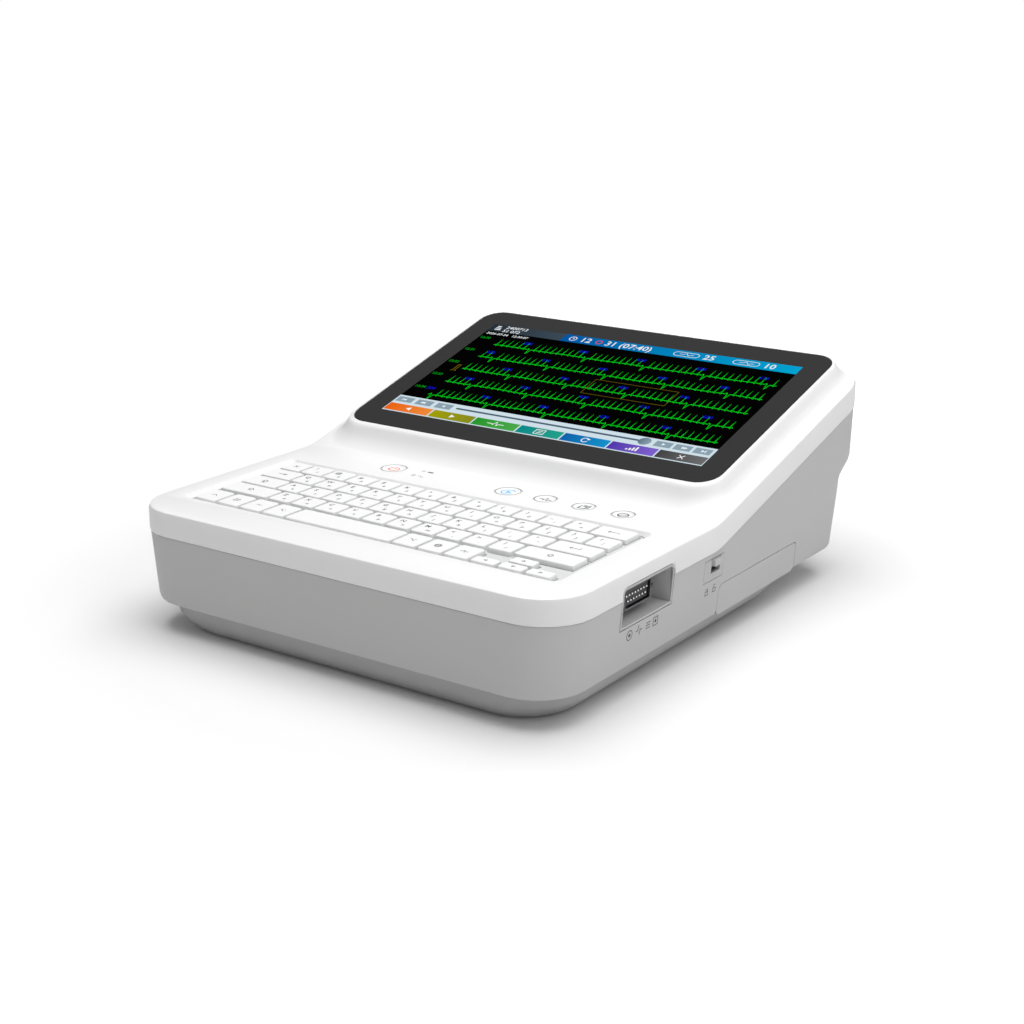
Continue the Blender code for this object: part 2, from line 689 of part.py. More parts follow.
def make_lower_case():
    """The grey tub with its bosses, runners and openings."""
    levels = case_levels()
    middle = CASE_EDGE_RADIUS * (1 - math.sin(math.radians(45)))
    outer = [case_ring(0, CASE_EDGE_RADIUS, 0, GAP)]
    outer.append(case_ring(0, middle, middle, GAP))
    outer.append(case_ring(0, 0, CASE_EDGE_RADIUS, GAP))
    outer += [case_ring(share, 0, 0, GAP) for share in levels[1:]]
    inner = [case_ring(share, CASE_WALL, CASE_WALL, GAP) for share in reversed(levels[1:])]
    inner.append(case_ring(0, CASE_WALL, CASE_WALL, GAP))
    case = add_object("lower_case", loft("lower_case", outer + inner), "case_grey")
    root = CASE_FLOOR - CASE_WALL / 2
    bosses = []
    for x, y in post_places(main_board_box()):
        profile = [(POST_RADIUS, root), (POST_RADIUS * POST_TOP_SHARE, MAIN_BOARD_HEIGHT - GAP)]
        bosses.append(turned("post", profile, 10, (x, y, 0)))
    for x, y in post_places(supply_box()):
        profile = [(POST_RADIUS, root), (POST_RADIUS, SUPPLY_HEIGHT - GAP)]
        bosses.append(turned("post", profile, 10, (x, y, 0)))
    inner_end = drawer_inner_end() - RUNNER_THICKNESS
    outer_end = side_x(CASE_FLOOR) - CASE_WALL - DRAWER_PANEL
    for side in (-1, 1):
        edge = drawer_body_edge(side) + side * GAP
        low_y, high_y = sorted((edge, edge + side * RUNNER_THICKNESS))
        high = (outer_end, high_y, CASE_FLOOR + RUNNER_HEIGHT)
        bosses.append(box_mesh("runner", (inner_end, low_y, root), high))
    shape_with(case, "UNION", "bosses", joined("bosses", bosses))
    shape_with(case, "DIFFERENCE", "socket_notch", socket_cutter())
    latch_low = DECK_HEIGHT - LATCH_TOP_DROP - LATCH_HEIGHT
    latch = side_patch(
        "latch_window",
        LATCH_FROM_FRONT - LATCH_WIDTH / 2 - GAP,
        LATCH_FROM_FRONT + LATCH_WIDTH / 2 + GAP,
        latch_low - GAP,
        latch_low + LATCH_HEIGHT + GAP,
        -CASE_WALL - OVERRUN,
        OVERRUN,
    )
    shape_with(case, "DIFFERENCE", "latch_window", latch)
    near = DRAWER_NEAR - GAP
    far = DRAWER_FAR + GAP
    low = CASE_FLOOR + GAP
    top = drawer_top() + GAP
    through = -CASE_WALL - OVERRUN
    mouth = side_patch("drawer_mouth", near, far, low, top, through, OVERRUN, DRAWER_CORNER)
    shape_with(case, "DIFFERENCE", "drawer_mouth", mouth)
    top = CASE_FLOOR + DRAWER_CORNER
    lip = side_patch("drawer_lip", near, far, CASE_BOTTOM - OVERRUN, top, -DRAWER_PANEL - GAP, OVERRUN)
    shape_with(case, "DIFFERENCE", "drawer_lip", lip)
    holes = [bay_cutter("battery_bay", CASE_BOTTOM - OVERRUN, CASE_FLOOR + OVERRUN, BAY_CLEARANCE)]
    play = 2 * GAP
    holes.append(rear_hole("inlet_hole", INLET_X, INLET_HEIGHT, INLET_SIZE[0] + play, INLET_SIZE[1] + play))
    width = port_block_width() + play
    holes.append(rear_hole("port_hole", PORT_X + PORT_PITCH, PORT_HEIGHT, width, port_block_height() + play))
    place = (STUD_X, rear_y(PORT_HEIGHT), PORT_HEIGHT)
    profile = [(STUD_RADIUS + GAP, -CASE_WALL - OVERRUN), (STUD_RADIUS + GAP, OVERRUN)]
    holes.append(turned("stud_hole", profile, 16, place, "Y"))
    for i in range(VENT_COUNT):
        y = FRONT + VENT_FROM_FRONT + (i - (VENT_COUNT - 1) / 2) * VENT_PITCH
        low = VENT_HEIGHT - VENT_SIZE[1] / 2
        high = VENT_HEIGHT + VENT_SIZE[1] / 2
        inner_x = -side_x(low) + CASE_WALL + OVERRUN
        corner = (-HALF_WIDTH - OVERRUN, y - VENT_SIZE[0] / 2, low)
        holes.append(box_mesh("vent", corner, (inner_x, y + VENT_SIZE[0] / 2, high)))
    shape_with(case, "DIFFERENCE", "case_holes", joined("case_holes", holes))
    return case


def rear_hole(name, x, z, width, height):
    """A square hole through the lower rear wall."""
    y = rear_y(z)
    low = (x - width / 2, y - CASE_WALL - OVERRUN, z - height / 2)
    return box_mesh(name, low, (x + width / 2, y + OVERRUN, z + height / 2))


def bay_cutter(name, low, high, clearance):
    """The battery's outline between two heights, with a clearance."""
    y = FRONT + BATTERY_FROM_FRONT
    reach_x = BATTERY_SIZE[0] / 2 + clearance
    reach_y = BATTERY_SIZE[1] / 2 + clearance
    corner = (BATTERY_CENTRE_X - reach_x, y - reach_y, low)
    return box_mesh(name, corner, (BATTERY_CENTRE_X + reach_x, y + reach_y, high))


def pan_ring(share, wall, z):
    """A ring of the base pan: share is 0 at its upper edge and 1 at its lower edge."""
    inset = PAN_INSET + PAN_FLARE * share * share + wall
    half_width = side_x(CASE_BOTTOM) - inset
    front = FRONT + PAN_INSET + PAN_FRONT_FLARE * share * share + wall
    rear = REAR - PAN_REAR_MARGIN - inset
    outline = rounded_rectangle(-half_width, half_width, front, rear, PAN_RADIUS - inset / 2, CORNER_STEPS)
    return [(x, y, z) for x, y in outline]


def foot_places():
    """Each rubber foot's name and place."""
    inset = PAN_INSET + PAN_FLARE + FOOT_INSET
    x = side_x(CASE_BOTTOM) - inset
    near = FRONT + inset
    far = REAR - PAN_REAR_MARGIN - inset
    front = [("foot_front_left", -x, near), ("foot_front_right", x, near)]
    return front + [("foot_rear_left", -x, far), ("foot_rear_right", x, far)]


def make_base_pan():
    """The darker pan under the case: curved sides, foot seats, the battery door's opening and sound slots."""
    height = PAN_TOP - PAN_BOTTOM
    outer = [pan_ring(share, 0, PAN_TOP - height * share) for share in PAN_OUTER_SHARES]
    inner = [pan_ring(share, PAN_WALL, PAN_TOP - height * share) for share in PAN_INNER_SHARES]
    inner.append(pan_ring(PAN_FLOOR_SHARE, PAN_WALL, PAN_BOTTOM + PAN_WALL))
    pan = add_object("base_pan", loft("base_pan", outer + inner), "pan_grey")
    holes = []
    for name, x, y in foot_places():
        profile = [(FOOT_RADIUS + GAP, -OVERRUN), (FOOT_RADIUS + GAP, FOOT_SEAT + GAP)]
        holes.append(turned(name, profile, 20, (x, y, PAN_BOTTOM)))
    ledge = PAN_BOTTOM + DOOR_THICKNESS + GAP
    middle = PAN_BOTTOM + DOOR_THICKNESS / 2
    holes.append(bay_cutter("door_opening", middle, PAN_BOTTOM + PAN_WALL + OVERRUN, BAY_CLEARANCE))
    shape_with(pan, "DIFFERENCE", "pan_holes", joined("pan_holes", holes))
    recess = bay_cutter("door_recess", PAN_BOTTOM - OVERRUN, ledge, DOOR_MARGIN + GAP)
    shape_with(pan, "DIFFERENCE", "door_recess", recess)
    slots = []
    y = FRONT + SPEAKER_FROM_FRONT
    middle = (len(SOUND_SLOT_SHARES) - 1) / 2
    for i, share in enumerate(SOUND_SLOT_SHARES):
        x = SPEAKER_X + (i - middle) * SOUND_SLOT_PITCH
        reach = SPEAKER_RADIUS * share
        low = (x - PAN_WALL / 2, y - reach, PAN_BOTTOM - OVERRUN)
        slots.append(box_mesh("slot", low, (x + PAN_WALL / 2, y + reach, PAN_BOTTOM + PAN_WALL + OVERRUN)))
    shape_with(pan, "DIFFERENCE", "sound_slots", joined("sound_slots", slots))
    return pan


def make_feet():
    """Four rubber feet in their seats."""
    for name, x, y in foot_places():
        profile = [(FOOT_RADIUS - FOOT_EDGE, 0), (FOOT_RADIUS, FOOT_EDGE), (FOOT_RADIUS, FOOT_HEIGHT)]
        add_object(name, turned(name, profile, 20, (x, y, 0)), "rubber", (x, y, 0))


def make_battery():
    """The battery pack and the door that closes its bay."""
    low = PAN_BOTTOM + DOOR_THICKNESS + GAP
    y = FRONT + BATTERY_FROM_FRONT
    radius = BATTERY_EDGE
    high = low + BATTERY_SIZE[2]
    ease = radius / 2
    rings = []
    for inset, z in ((ease, low), (0, low + ease), (0, high - ease), (ease, high)):
        reach_x = BATTERY_SIZE[0] / 2 - inset
        reach_y = BATTERY_SIZE[1] / 2 - inset
        left = BATTERY_CENTRE_X - reach_x
        outline = rounded_rectangle(left, BATTERY_CENTRE_X + reach_x, y - reach_y, y + reach_y, radius, 2)
        rings.append([(px, py, z) for px, py in outline])
    add_object("battery_pack", loft("battery_pack", rings), "dark_plastic")
    door = bay_cutter("battery_door", PAN_BOTTOM, PAN_BOTTOM + DOOR_THICKNESS, DOOR_MARGIN)
    add_object("battery_door", door, "pan_grey")


def make_screen():
    """The pane and the display panel behind it."""
    edge = GLASS_EDGE
    middle = GLASS_HEIGHT / 2
    rings = []
    for inset, out in ((0, -GLASS_THICKNESS), (0, -edge), (edge, 0)):
        reach = GLASS_WIDTH / 2 - inset
        high = GLASS_HEIGHT - inset
        outline = rounded_rectangle(-reach, reach, inset, high, GLASS_RADIUS - inset, CORNER_STEPS)
        rings.append([screen_point(x, along, out) for x, along in outline])
    add_object("screen_glass", loft("screen_glass", rings), "glass_black", screen_point(0, middle, 0))
    high = -GLASS_THICKNESS - GAP
    low = high - DISPLAY_THICKNESS
    panel = screen_block("display_panel", DISPLAY_WIDTH, DISPLAY_HEIGHT, low, high, COVER_WALL)
    add_object("display_panel", panel, "dark_plastic", screen_point(0, middle, high))


def key_rows():
    """Every key as (name, moves, left, width, near, depth), row by row from the rear."""
    cap = KEY_PITCH - KEY_GAP
    rows = []
    layout = (
        ("escape", "1234567890-=", "backspace"),
        ("tab", "QWERTYUIOP[]", "backslash"),
        ("caps_lock", "ASDFGHJKL;'", "enter"),
        ("left_shift", "ZXCVBNM,./", "right_shift"),
    )
    for index, (first, characters, last) in enumerate(layout):
        near = FRONT + keys_rear() - index * KEY_ROW_PITCH - KEY_DEPTH
        first_width = FIRST_KEY_SHARES[index] * KEY_PITCH - KEY_GAP
        rows.append((f"{first}_key", True, KEYS_LEFT, first_width, near, KEY_DEPTH))
        left = KEYS_LEFT + first_width + KEY_GAP
        for number, _ in enumerate(characters):
            rows.append((f"character_{index}_{number}", False, left, cap, near, KEY_DEPTH))
            left += KEY_PITCH
        moves = last != "backslash"
        rows.append((f"{last}_key", moves, left, KEYS_RIGHT - left, near, KEY_DEPTH))
    return rows + front_row_keys()


def front_row_keys():
    """The row nearest the operator, with the space bar and the arrow keys."""
    cap = KEY_PITCH - KEY_GAP
    near = FRONT + KEYS_FROM_FRONT
    half = (FRONT_ROW_DEPTH - KEY_GAP) / 2
    keys = []
    left = KEYS_LEFT + KEY_EDGE
    for name in ("control_key", "function_key", "accent_key", "left_alt_key"):
        keys.append((name, True, left, cap, near, FRONT_ROW_DEPTH))
        left += KEY_PITCH
    right = KEYS_RIGHT - cap
    tail = ("right_arrow_key", "down_arrow_key", "left_arrow_key")
    tail += ("filter_key", "language_key", "right_alt_key")
    for name in tail:
        deep = half if name.endswith("arrow_key") else FRONT_ROW_DEPTH
        keys.append((name, True, right, cap, near, deep))
        if name == "down_arrow_key":
            keys.append(("up_arrow_key", True, right, cap, near + FRONT_ROW_DEPTH - half, half))
        right -= KEY_PITCH
    space_right = right + KEY_PITCH - KEY_GAP
    keys.append(("space_key", True, left, space_right - left, near, FRONT_ROW_DEPTH))
    return keys


def key_mesh(name, left, width, near, depth, bottom):
    """One key cap: tapered walls, round corners and an eased top edge."""
    rings = []
    base = DECK_HEIGHT - COVER_WALL
    rim = KEY_TAPER + KEY_EDGE
    for inset, z in ((0, bottom), (0, base), (KEY_TAPER, DECK_HEIGHT - KEY_EDGE), (rim, DECK_HEIGHT)):
        right = left + width - inset
        outline = rounded_rectangle(left + inset, right, near + inset, near + depth - inset, KEY_RADIUS, 2)
        rings.append([(x, y, z) for x, y in outline])
    return loft(name, rings)


def make_keyboard():
    """The key plate with its character keys, the keys that move by themselves and the board below."""
    top = DECK_HEIGHT - COVER_WALL - GAP
    bottom = top - PLATE_THICKNESS
    outline = keyboard_opening(WELL_MARGIN + PLATE_LAP, top)
    plate_mesh = loft("key_plate", [[(x, y, bottom) for x, y, _ in outline], outline])
    plate = add_object("key_plate", plate_mesh, "key_white")
    fixed = []
    wells = []
    for name, moves, left, width, near, depth in key_rows():
        if moves:
            reach = KEY_CLEARANCE
            low = (left - reach, near - reach, bottom - OVERRUN)
            wells.append(box_mesh("well", low, (left + width + reach, near + depth + reach, top + OVERRUN)))
            mesh = key_mesh(name, left, width, near, depth, DECK_HEIGHT - KEY_HEIGHT)
            add_object(name, mesh, "key_white", (left + width / 2, near + depth / 2, DECK_HEIGHT))
        else:
            fixed.append(key_mesh(name, left, width, near, depth, top - PLATE_THICKNESS / 2))
    shape_with(plate, "DIFFERENCE", "wells", joined("wells", wells))
    shape_with(plate, "UNION", "character_keys", joined("character_keys", fixed))
    board_top = DECK_HEIGHT - KEY_HEIGHT - KEY_TRAVEL - GAP
    outline = keyboard_opening(WELL_MARGIN + PLATE_LAP, board_top)
    rings = [[(x, y, board_top - KEY_BOARD_THICKNESS) for x, y, _ in outline], outline]
    board = add_object("key_board", loft("key_board", rings), "board_green")
    pads = []
    for share in KEY_PAD_SHARES:
        x = KEYS_LEFT + (KEYS_RIGHT - KEYS_LEFT) * share
        for y in (FRONT + KEYS_FROM_FRONT - WELL_MARGIN, FRONT + keys_rear() + WELL_MARGIN):
            profile = [(KEY_PAD_RADIUS, board_top - KEY_BOARD_THICKNESS / 2), (KEY_PAD_RADIUS, bottom - GAP)]
            pads.append(turned("pad", profile, 8, (x, y, 0)))
    shape_with(board, "UNION", "pads", joined("pads", pads))


def make_deck_controls():
    """The round buttons, the two indicator lights and the board under them."""
    y = FRONT + BUTTON_LINE_FROM_FRONT
    flange_top = -COVER_WALL - GAP
    flange_low = flange_top - BUTTON_FLANGE
    board_top = flange_low - BUTTON_TRAVEL - BUTTON_BOARD_CLEARANCE
    for name, x, radius in button_places():
        profile = [
            (BUTTON_STEM_RADIUS, board_top + BUTTON_TRAVEL + GAP),
            (BUTTON_STEM_RADIUS, flange_low),
            (radius + BUTTON_FLANGE, flange_low),
            (radius + BUTTON_FLANGE, flange_top),
            (radius, flange_top),
            (radius, -BUTTON_DISH),
            (radius - BUTTON_DISH, 0),
            (radius * BUTTON_DISH_SHARES[0], 0),
            (radius * BUTTON_DISH_SHARES[1], -BUTTON_DISH),
        ]
        add_object(name, turned(name, profile, 24, (x, y, DECK_HEIGHT)), "cover_white", (x, y, DECK_HEIGHT))
    for name, x, light_y in light_places():
        profile = [(LIGHT_RADIUS, -LIGHT_LENGTH), (LIGHT_RADIUS, -LIGHT_EDGE), (LIGHT_RADIUS - LIGHT_EDGE, 0)]
        place = (x, light_y, DECK_HEIGHT)
        add_object(name, turned(name, profile, 12, place), "light_pipe", place)
    left = POWER_BUTTON_X - LARGE_BUTTON_RADIUS
    right = FIRST_BUTTON_X + 3 * BUTTON_PITCH + SMALL_BUTTON_RADIUS
    top = DECK_HEIGHT + board_top
    low = (left, y - BUTTON_BOARD_DEPTH / 2, top - BUTTON_BOARD_THICKNESS)
    board_mesh = box_mesh("button_board", low, (right, y + BUTTON_BOARD_DEPTH / 2, top))
    board = add_object("button_board", board_mesh, "board_green")
    middle = top - BUTTON_BOARD_THICKNESS / 2
    posts = []
    beside_power = (POWER_BUTTON_X + LIGHT_X) / 2 + LIGHT_RADIUS
    for x in (beside_power, (LIGHT_X + FIRST_BUTTON_X) / 2, FIRST_BUTTON_X + BUTTON_PITCH / 2):
        profile = [(BUTTON_POST_RADIUS, middle), (BUTTON_POST_RADIUS, DECK_HEIGHT + flange_top)]
        posts.append(turned("post", profile, 8, (x, y, 0)))
    for _, x, light_y in light_places():
        profile = [(LAMP_RADIUS, middle), (LAMP_RADIUS, DECK_HEIGHT - LIGHT_LENGTH - GAP)]
        posts.append(turned("lamp", profile, 8, (x, light_y, 0)))
    shape_with(board, "UNION", "board_posts", joined("board_posts", posts))


def make_patient_socket():
    """The well in the right side and the fifteen-way socket at its back."""
    y = FRONT + SOCKET_FROM_FRONT
    low = DECK_HEIGHT - SOCKET_WELL_BOTTOM_DROP
    high = DECK_HEIGHT - SOCKET_WELL_TOP_DROP
    face = side_x(low) - GAP
    back = HALF_WIDTH - SOCKET_WELL_DEPTH
    wall = SOCKET_WELL_WALL
    reach = SOCKET_WELL_WIDTH / 2
    corner = (back + GAP, y - reach - wall, low - wall)
    well_mesh = box_mesh("socket_well", corner, (face, y + reach + wall, high + wall))
    well = add_object("socket_well", well_mesh, "case_grey")
    cavity = box_mesh("cavity", (back + GAP + wall, y - reach, low), (face + OVERRUN, y + reach, high))
    shape_with(well, "DIFFERENCE", "cavity", cavity)
    middle = (low + high) / 2
    hole_y = SOCKET_WIDTH / 2 + GAP
    hole_z = SOCKET_HEIGHT / 2 + GAP
    corner = (back - OVERRUN, y - hole_y, middle - hole_z)
    hole = box_mesh("shell_hole", corner, (back + OVERRUN, y + hole_y, middle + hole_z))
    shape_with(well, "DIFFERENCE", "shell_hole", hole)
    shell_face = back + GAP + wall + SOCKET_REACH
    flange_x = back - SOCKET_FLANGE[2]
    ring = [
        (y - SOCKET_WIDTH / 2, middle + SOCKET_HEIGHT / 2),
        (y - SOCKET_WIDTH / 2 + SOCKET_SLANT, middle - SOCKET_HEIGHT / 2),
        (y + SOCKET_WIDTH / 2 - SOCKET_SLANT, middle - SOCKET_HEIGHT / 2),
        (y + SOCKET_WIDTH / 2, middle + SOCKET_HEIGHT / 2),
    ]
    thick = SOCKET_SHELL_WALL
    inner = [(py + (thick if py < y else -thick), pz + (thick if pz < middle else -thick)) for py, pz in ring]
    rings = [[(flange_x, py, pz) for py, pz in ring], [(shell_face, py, pz) for py, pz in ring]]
    rings += [[(x, py, pz) for py, pz in inner] for x in (shell_face, shell_face - SOCKET_REACH / 2)]
    socket = add_object("patient_socket", loft("patient_socket", rings), "metal")
    wide, tall, thin = SOCKET_FLANGE
    flange = centred_box("flange", (back - thin / 2, y, middle), (thin, wide, tall))
    body_x = back - SOCKET_FLANGE[2] / 2 - SOCKET_BODY_DEPTH / 2
    body = centred_box("body", (body_x, y, middle), (SOCKET_BODY_DEPTH, SOCKET_WIDTH, SOCKET_HEIGHT))
    shape_with(socket, "UNION", "flange", joined("flange", [flange, body]))


def latch_tab_place():
    """Centre of the latch's finger tab: distance from the front and height."""
    near = LATCH_FROM_FRONT + LATCH_WIDTH / 2 - TAB_FROM_EDGE - TAB_WIDTH / 2
    height = DECK_HEIGHT - LATCH_TOP_DROP - TAB_HEIGHT / 2 - TAB_CLEARANCE
    return near, height


def make_latch():
    """The flush latch plate and the slider that locks the drawer."""
    low = DECK_HEIGHT - LATCH_TOP_DROP - LATCH_HEIGHT
    high = low + LATCH_HEIGHT
    near = LATCH_FROM_FRONT - LATCH_WIDTH / 2
    far = LATCH_FROM_FRONT + LATCH_WIDTH / 2
    thick = LATCH_PLATE_THICKNESS
    plate = add_object("latch_plate", side_patch("latch_plate", near, far, low, high, -thick, 0), "case_grey")
    tab_near, tab_height = latch_tab_place()
    slot_low = tab_height - TAB_HEIGHT / 2 - LATCH_TRAVEL - GAP
    slot_high = tab_height + TAB_HEIGHT / 2 + GAP
    reach = TAB_WIDTH / 2 + GAP
    sides = (tab_near - reach, tab_near + reach)
    slot = side_patch("slot", *sides, slot_low, slot_high, -thick - OVERRUN, OVERRUN)
    shape_with(plate, "DIFFERENCE", "slot", slot)
    leg_low = drawer_body_top() + LATCH_TRAVEL + LATCH_LEG_CLEARANCE
    back_face = side_x(leg_low - LATCH_TRAVEL) - CASE_WALL - GAP
    y = FRONT + tab_near
    tab_out = side_x(tab_height) + TAB_REACH
    low_z = tab_height - TAB_HEIGHT / 2
    high_z = tab_height + TAB_HEIGHT / 2
    corner = (back_face - LATCH_LEG / 2, y - TAB_WIDTH / 2, low_z)
    tab = box_mesh("latch_slider", corner, (tab_out, y + TAB_WIDTH / 2, high_z))
    slider = add_object("latch_slider", tab, "case_grey", (side_x(tab_height), y, tab_height))
    leg_edge = drawer_body_edge(-1)
    corner = (back_face - LATCH_LEG, y - TAB_WIDTH, low_z - TAB_HEIGHT)
    back = box_mesh("back", corner, (back_face, leg_edge + DRAWER_WALL, high_z + GAP))
    corner = (back_face - LATCH_LEG, leg_edge, leg_low)
    leg = box_mesh("leg", corner, (back_face, leg_edge + DRAWER_WALL, low_z))
    shape_with(slider, "UNION", "back_plate", back)
    shape_with(slider, "UNION", "leg", leg)


def drawer_body_edge(side):
    """Y of the drawer body's outer face: -1 for the side nearer the front, 1 for the other."""
    if side < 0:
        return FRONT + DRAWER_NEAR + DRAWER_SIDE_GAP
    return FRONT + DRAWER_FAR - DRAWER_SIDE_GAP


def drawer_body_top():
    """Height of the drawer's side walls."""
    return CASE_FLOOR + GAP + DRAWER_WALL_HEIGHT


def drawer_inner_end():
    """X of the drawer's inner end."""
    return side_x(CASE_FLOOR) - DRAWER_PANEL - DRAWER_LENGTH


def make_drawer():
    """The paper drawer with its flush panel, and the folded paper in it."""
    floor = CASE_FLOOR + GAP
    top = drawer_body_top()
    near = drawer_body_edge(-1)
    far = drawer_body_edge(1)
    inner_end = drawer_inner_end()
    panel_back = side_x(CASE_BOTTOM) - DRAWER_PANEL
    low = CASE_BOTTOM
    high = drawer_top()
    panel = side_patch("paper_drawer", DRAWER_NEAR, DRAWER_FAR, low, high, -DRAWER_PANEL, 0, DRAWER_CORNER)
    drawer = add_object("paper_drawer", panel, "case_grey", (side_x(floor), (near + far) / 2, floor))
    body = box_mesh("body", (inner_end, near, floor), (panel_back + DRAWER_PANEL / 2, far, top))
    shape_with(drawer, "UNION", "body", body)
    wall = DRAWER_WALL
    corner = (inner_end + wall, near + wall, floor + wall)
    hollow = box_mesh("hollow", corner, (panel_back, far - wall, top + OVERRUN))
    shape_with(drawer, "DIFFERENCE", "hollow", hollow)
    low = (inner_end + wall + PAPER_MARGIN, near + wall + PAPER_MARGIN, floor + wall + GAP)
    high = (panel_back - PAPER_MARGIN, far - wall - PAPER_MARGIN, floor + wall + GAP + PAPER_HEIGHT)
    add_object("paper_stack", box_mesh("paper_stack", low, high), "paper")


def gear_ring(teeth, phase):
    """Outline of a spur gear with straight-flanked teeth that are a little thinner than their spaces."""
    pitch_radius = GEAR_MODULE * teeth / 2
    tip = pitch_radius + TOOTH_TIP_SHARE * GEAR_MODULE
    root = pitch_radius - TOOTH_ROOT_SHARE * GEAR_MODULE
    wide, narrow = TOOTH_FLANK_SHARES
    step = math.tau / teeth
    ring = []
    for tooth in range(teeth):
        middle = step * tooth + phase
        for radius, share in ((root, -wide), (tip, -narrow), (tip, narrow), (root, wide)):
            angle = middle + step * share
            ring.append((radius * math.cos(angle), radius * math.sin(angle)))
    return ring


def gear_mesh(name, teeth, phase, x, z, low_y, bore):
    """A gear on a Y axis with a round bore."""
    outline = gear_ring(teeth, phase)
    count = len(outline)
    turns = [math.tau * i / count for i in range(count)]
    hole = [(bore * math.cos(angle), bore * math.sin(angle)) for angle in turns]
    high_y = low_y + GEAR_THICKNESS
    stack = ((outline, low_y), (outline, high_y), (hole, high_y), (hole, low_y))
    points = [(x + u, y, z + v) for ring, y in stack for u, v in ring]
    faces = []
    for level in range(4):
        for i in range(count):
            j = (i + 1) % count
            next_level = (level + 1) % 4
            low = level * count
            high = next_level * count
            faces.append((low + i, low + j, high + j, high + i))
    return mesh_from(name, points, faces)


def make_printer():
    """The printer over the drawer: chassis, thermal head, platen roller, gears and motor."""
    x = side_x(CASE_FLOOR) - PLATEN_FROM_SIDE
    z = PLATEN_HEIGHT
    near = drawer_body_edge(-1) - RUNNER_THICKNESS - CHEEK_CLEARANCE
    far = drawer_body_edge(1) + RUNNER_THICKNESS + CHEEK_CLEARANCE
    low = CASE_FLOOR + GAP
    high = low + CHEEK_HEIGHT
    end = x + SHAFT_RADIUS + PLATEN_RADIUS
    start = end - CHEEK_LENGTH
    corner = (start, near - CHEEK_THICKNESS, low)
    frame = box_mesh("printer_chassis", corner, (end, far + CHEEK_THICKNESS, high))
    chassis = add_object("printer_chassis", frame, "metal")
    corner = (start - OVERRUN, near, low - OVERRUN)
    room = box_mesh("room", corner, (end + OVERRUN, far, high - CHEEK_THICKNESS))
    shape_with(chassis, "DIFFERENCE", "room", room)
    bore = SHAFT_RADIUS + GAP
    distance = GEAR_MODULE * (PLATEN_TEETH + PINION_TEETH) / 2
    motor_x = x - distance
    span = (near - CHEEK_THICKNESS - OVERRUN, far + CHEEK_THICKNESS + OVERRUN)
    bores = [turned("bore", [(bore, span[0]), (bore, span[1])], 20, (x, 0, z), "Y")]
    small = MOTOR_SHAFT_RADIUS + GAP
    bores.append(turned("bore", [(small, far - OVERRUN), (small, span[1])], 12, (motor_x, 0, z), "Y"))
    shape_with(chassis, "DIFFERENCE", "bores", joined("bores", bores))
    head_low = z + PLATEN_RADIUS + GAP
    head_size = (HEAD_WIDTH, far - near - 2 * DRAWER_SIDE_GAP, HEAD_THICKNESS)
    head = centred_box("print_head", (x, (near + far) / 2, head_low + HEAD_THICKNESS / 2), head_size)
    head_obj = add_object("print_head", head, "dark_plastic")
    sink_low = head_low + HEAD_THICKNESS / 2
    sink = box_mesh(
        "heat_sink",
        (x - HEAD_WIDTH / 2, near + 2 * DRAWER_SIDE_GAP, sink_low),
        (x - HEAD_WIDTH / 2 + HEAT_SINK_WIDTH, far - 2 * DRAWER_SIDE_GAP, high - CHEEK_THICKNESS - GAP),
    )
    shape_with(head_obj, "UNION", "heat_sink", sink)
    gear_low = far + CHEEK_THICKNESS + CHEEK_CLEARANCE
    shaft_end = gear_low + GEAR_THICKNESS + GAP
    roll_near = near + CHEEK_CLEARANCE
    roll_far = far - CHEEK_CLEARANCE
    profile = [
        (SHAFT_RADIUS, near - CHEEK_THICKNESS - GAP),
        (SHAFT_RADIUS, roll_near),
        (PLATEN_RADIUS, roll_near),
        (PLATEN_RADIUS, roll_far),
        (SHAFT_RADIUS, roll_far),
        (SHAFT_RADIUS, shaft_end),
    ]
    roller = turned("platen_roller", profile, 20, (x, 0, z), "Y")
    add_object("platen_roller", roller, "rubber", (x, (near + far) / 2, z))
    wheel = gear_mesh("platen_gear", PLATEN_TEETH, 0, x, z, gear_low, SHAFT_RADIUS + GAP)
    add_object("platen_gear", wheel, "light_pipe", (x, gear_low, z), math.radians(20))
    phase = math.pi / PINION_TEETH if PLATEN_TEETH % 2 == 0 else 0
    pinion = gear_mesh("drive_pinion", PINION_TEETH, phase, motor_x, z, gear_low, MOTOR_SHAFT_RADIUS + GAP)
    add_object("drive_pinion", pinion, "light_pipe", (motor_x, gear_low, z), math.radians(20))
    motor_far = far - GAP
    profile = [
        (MOTOR_RADIUS, motor_far - MOTOR_LENGTH),
        (MOTOR_RADIUS, motor_far),
        (MOTOR_SHAFT_RADIUS, motor_far),
        (MOTOR_SHAFT_RADIUS, shaft_end),
    ]
    add_object("feed_motor", turned("feed_motor", profile, 20, (motor_x, 0, z), "Y"), "metal")


def main_board_box():
    """The main board's left, right, front and rear edges, kept clear of the case and of the drawer."""
    left = MAIN_BOARD_SIDE_MARGIN - HALF_WIDTH
    right = drawer_inner_end() - MAIN_BOARD_DRAWER_MARGIN
    rear = REAR - MAIN_BOARD_REAR_MARGIN
    return left, right, rear - MAIN_BOARD_DEPTH, rear


def supply_box():
    """The power supply's left, right, front and rear edges, just in front of the mains inlet."""
    rear = inlet_face() - INLET_DEPTH - SUPPLY_INLET_GAP
    return INLET_X - SUPPLY_SIZE[0] / 2, INLET_X + SUPPLY_SIZE[0] / 2, rear - SUPPLY_SIZE[1], rear


def post_places(box):
    """Four places set in from a board's corners."""
    left, right, near, far = box
    across = (left + POST_INSET, right - POST_INSET)
    return [(x, y) for x in across for y in (near + POST_INSET, far - POST_INSET)]


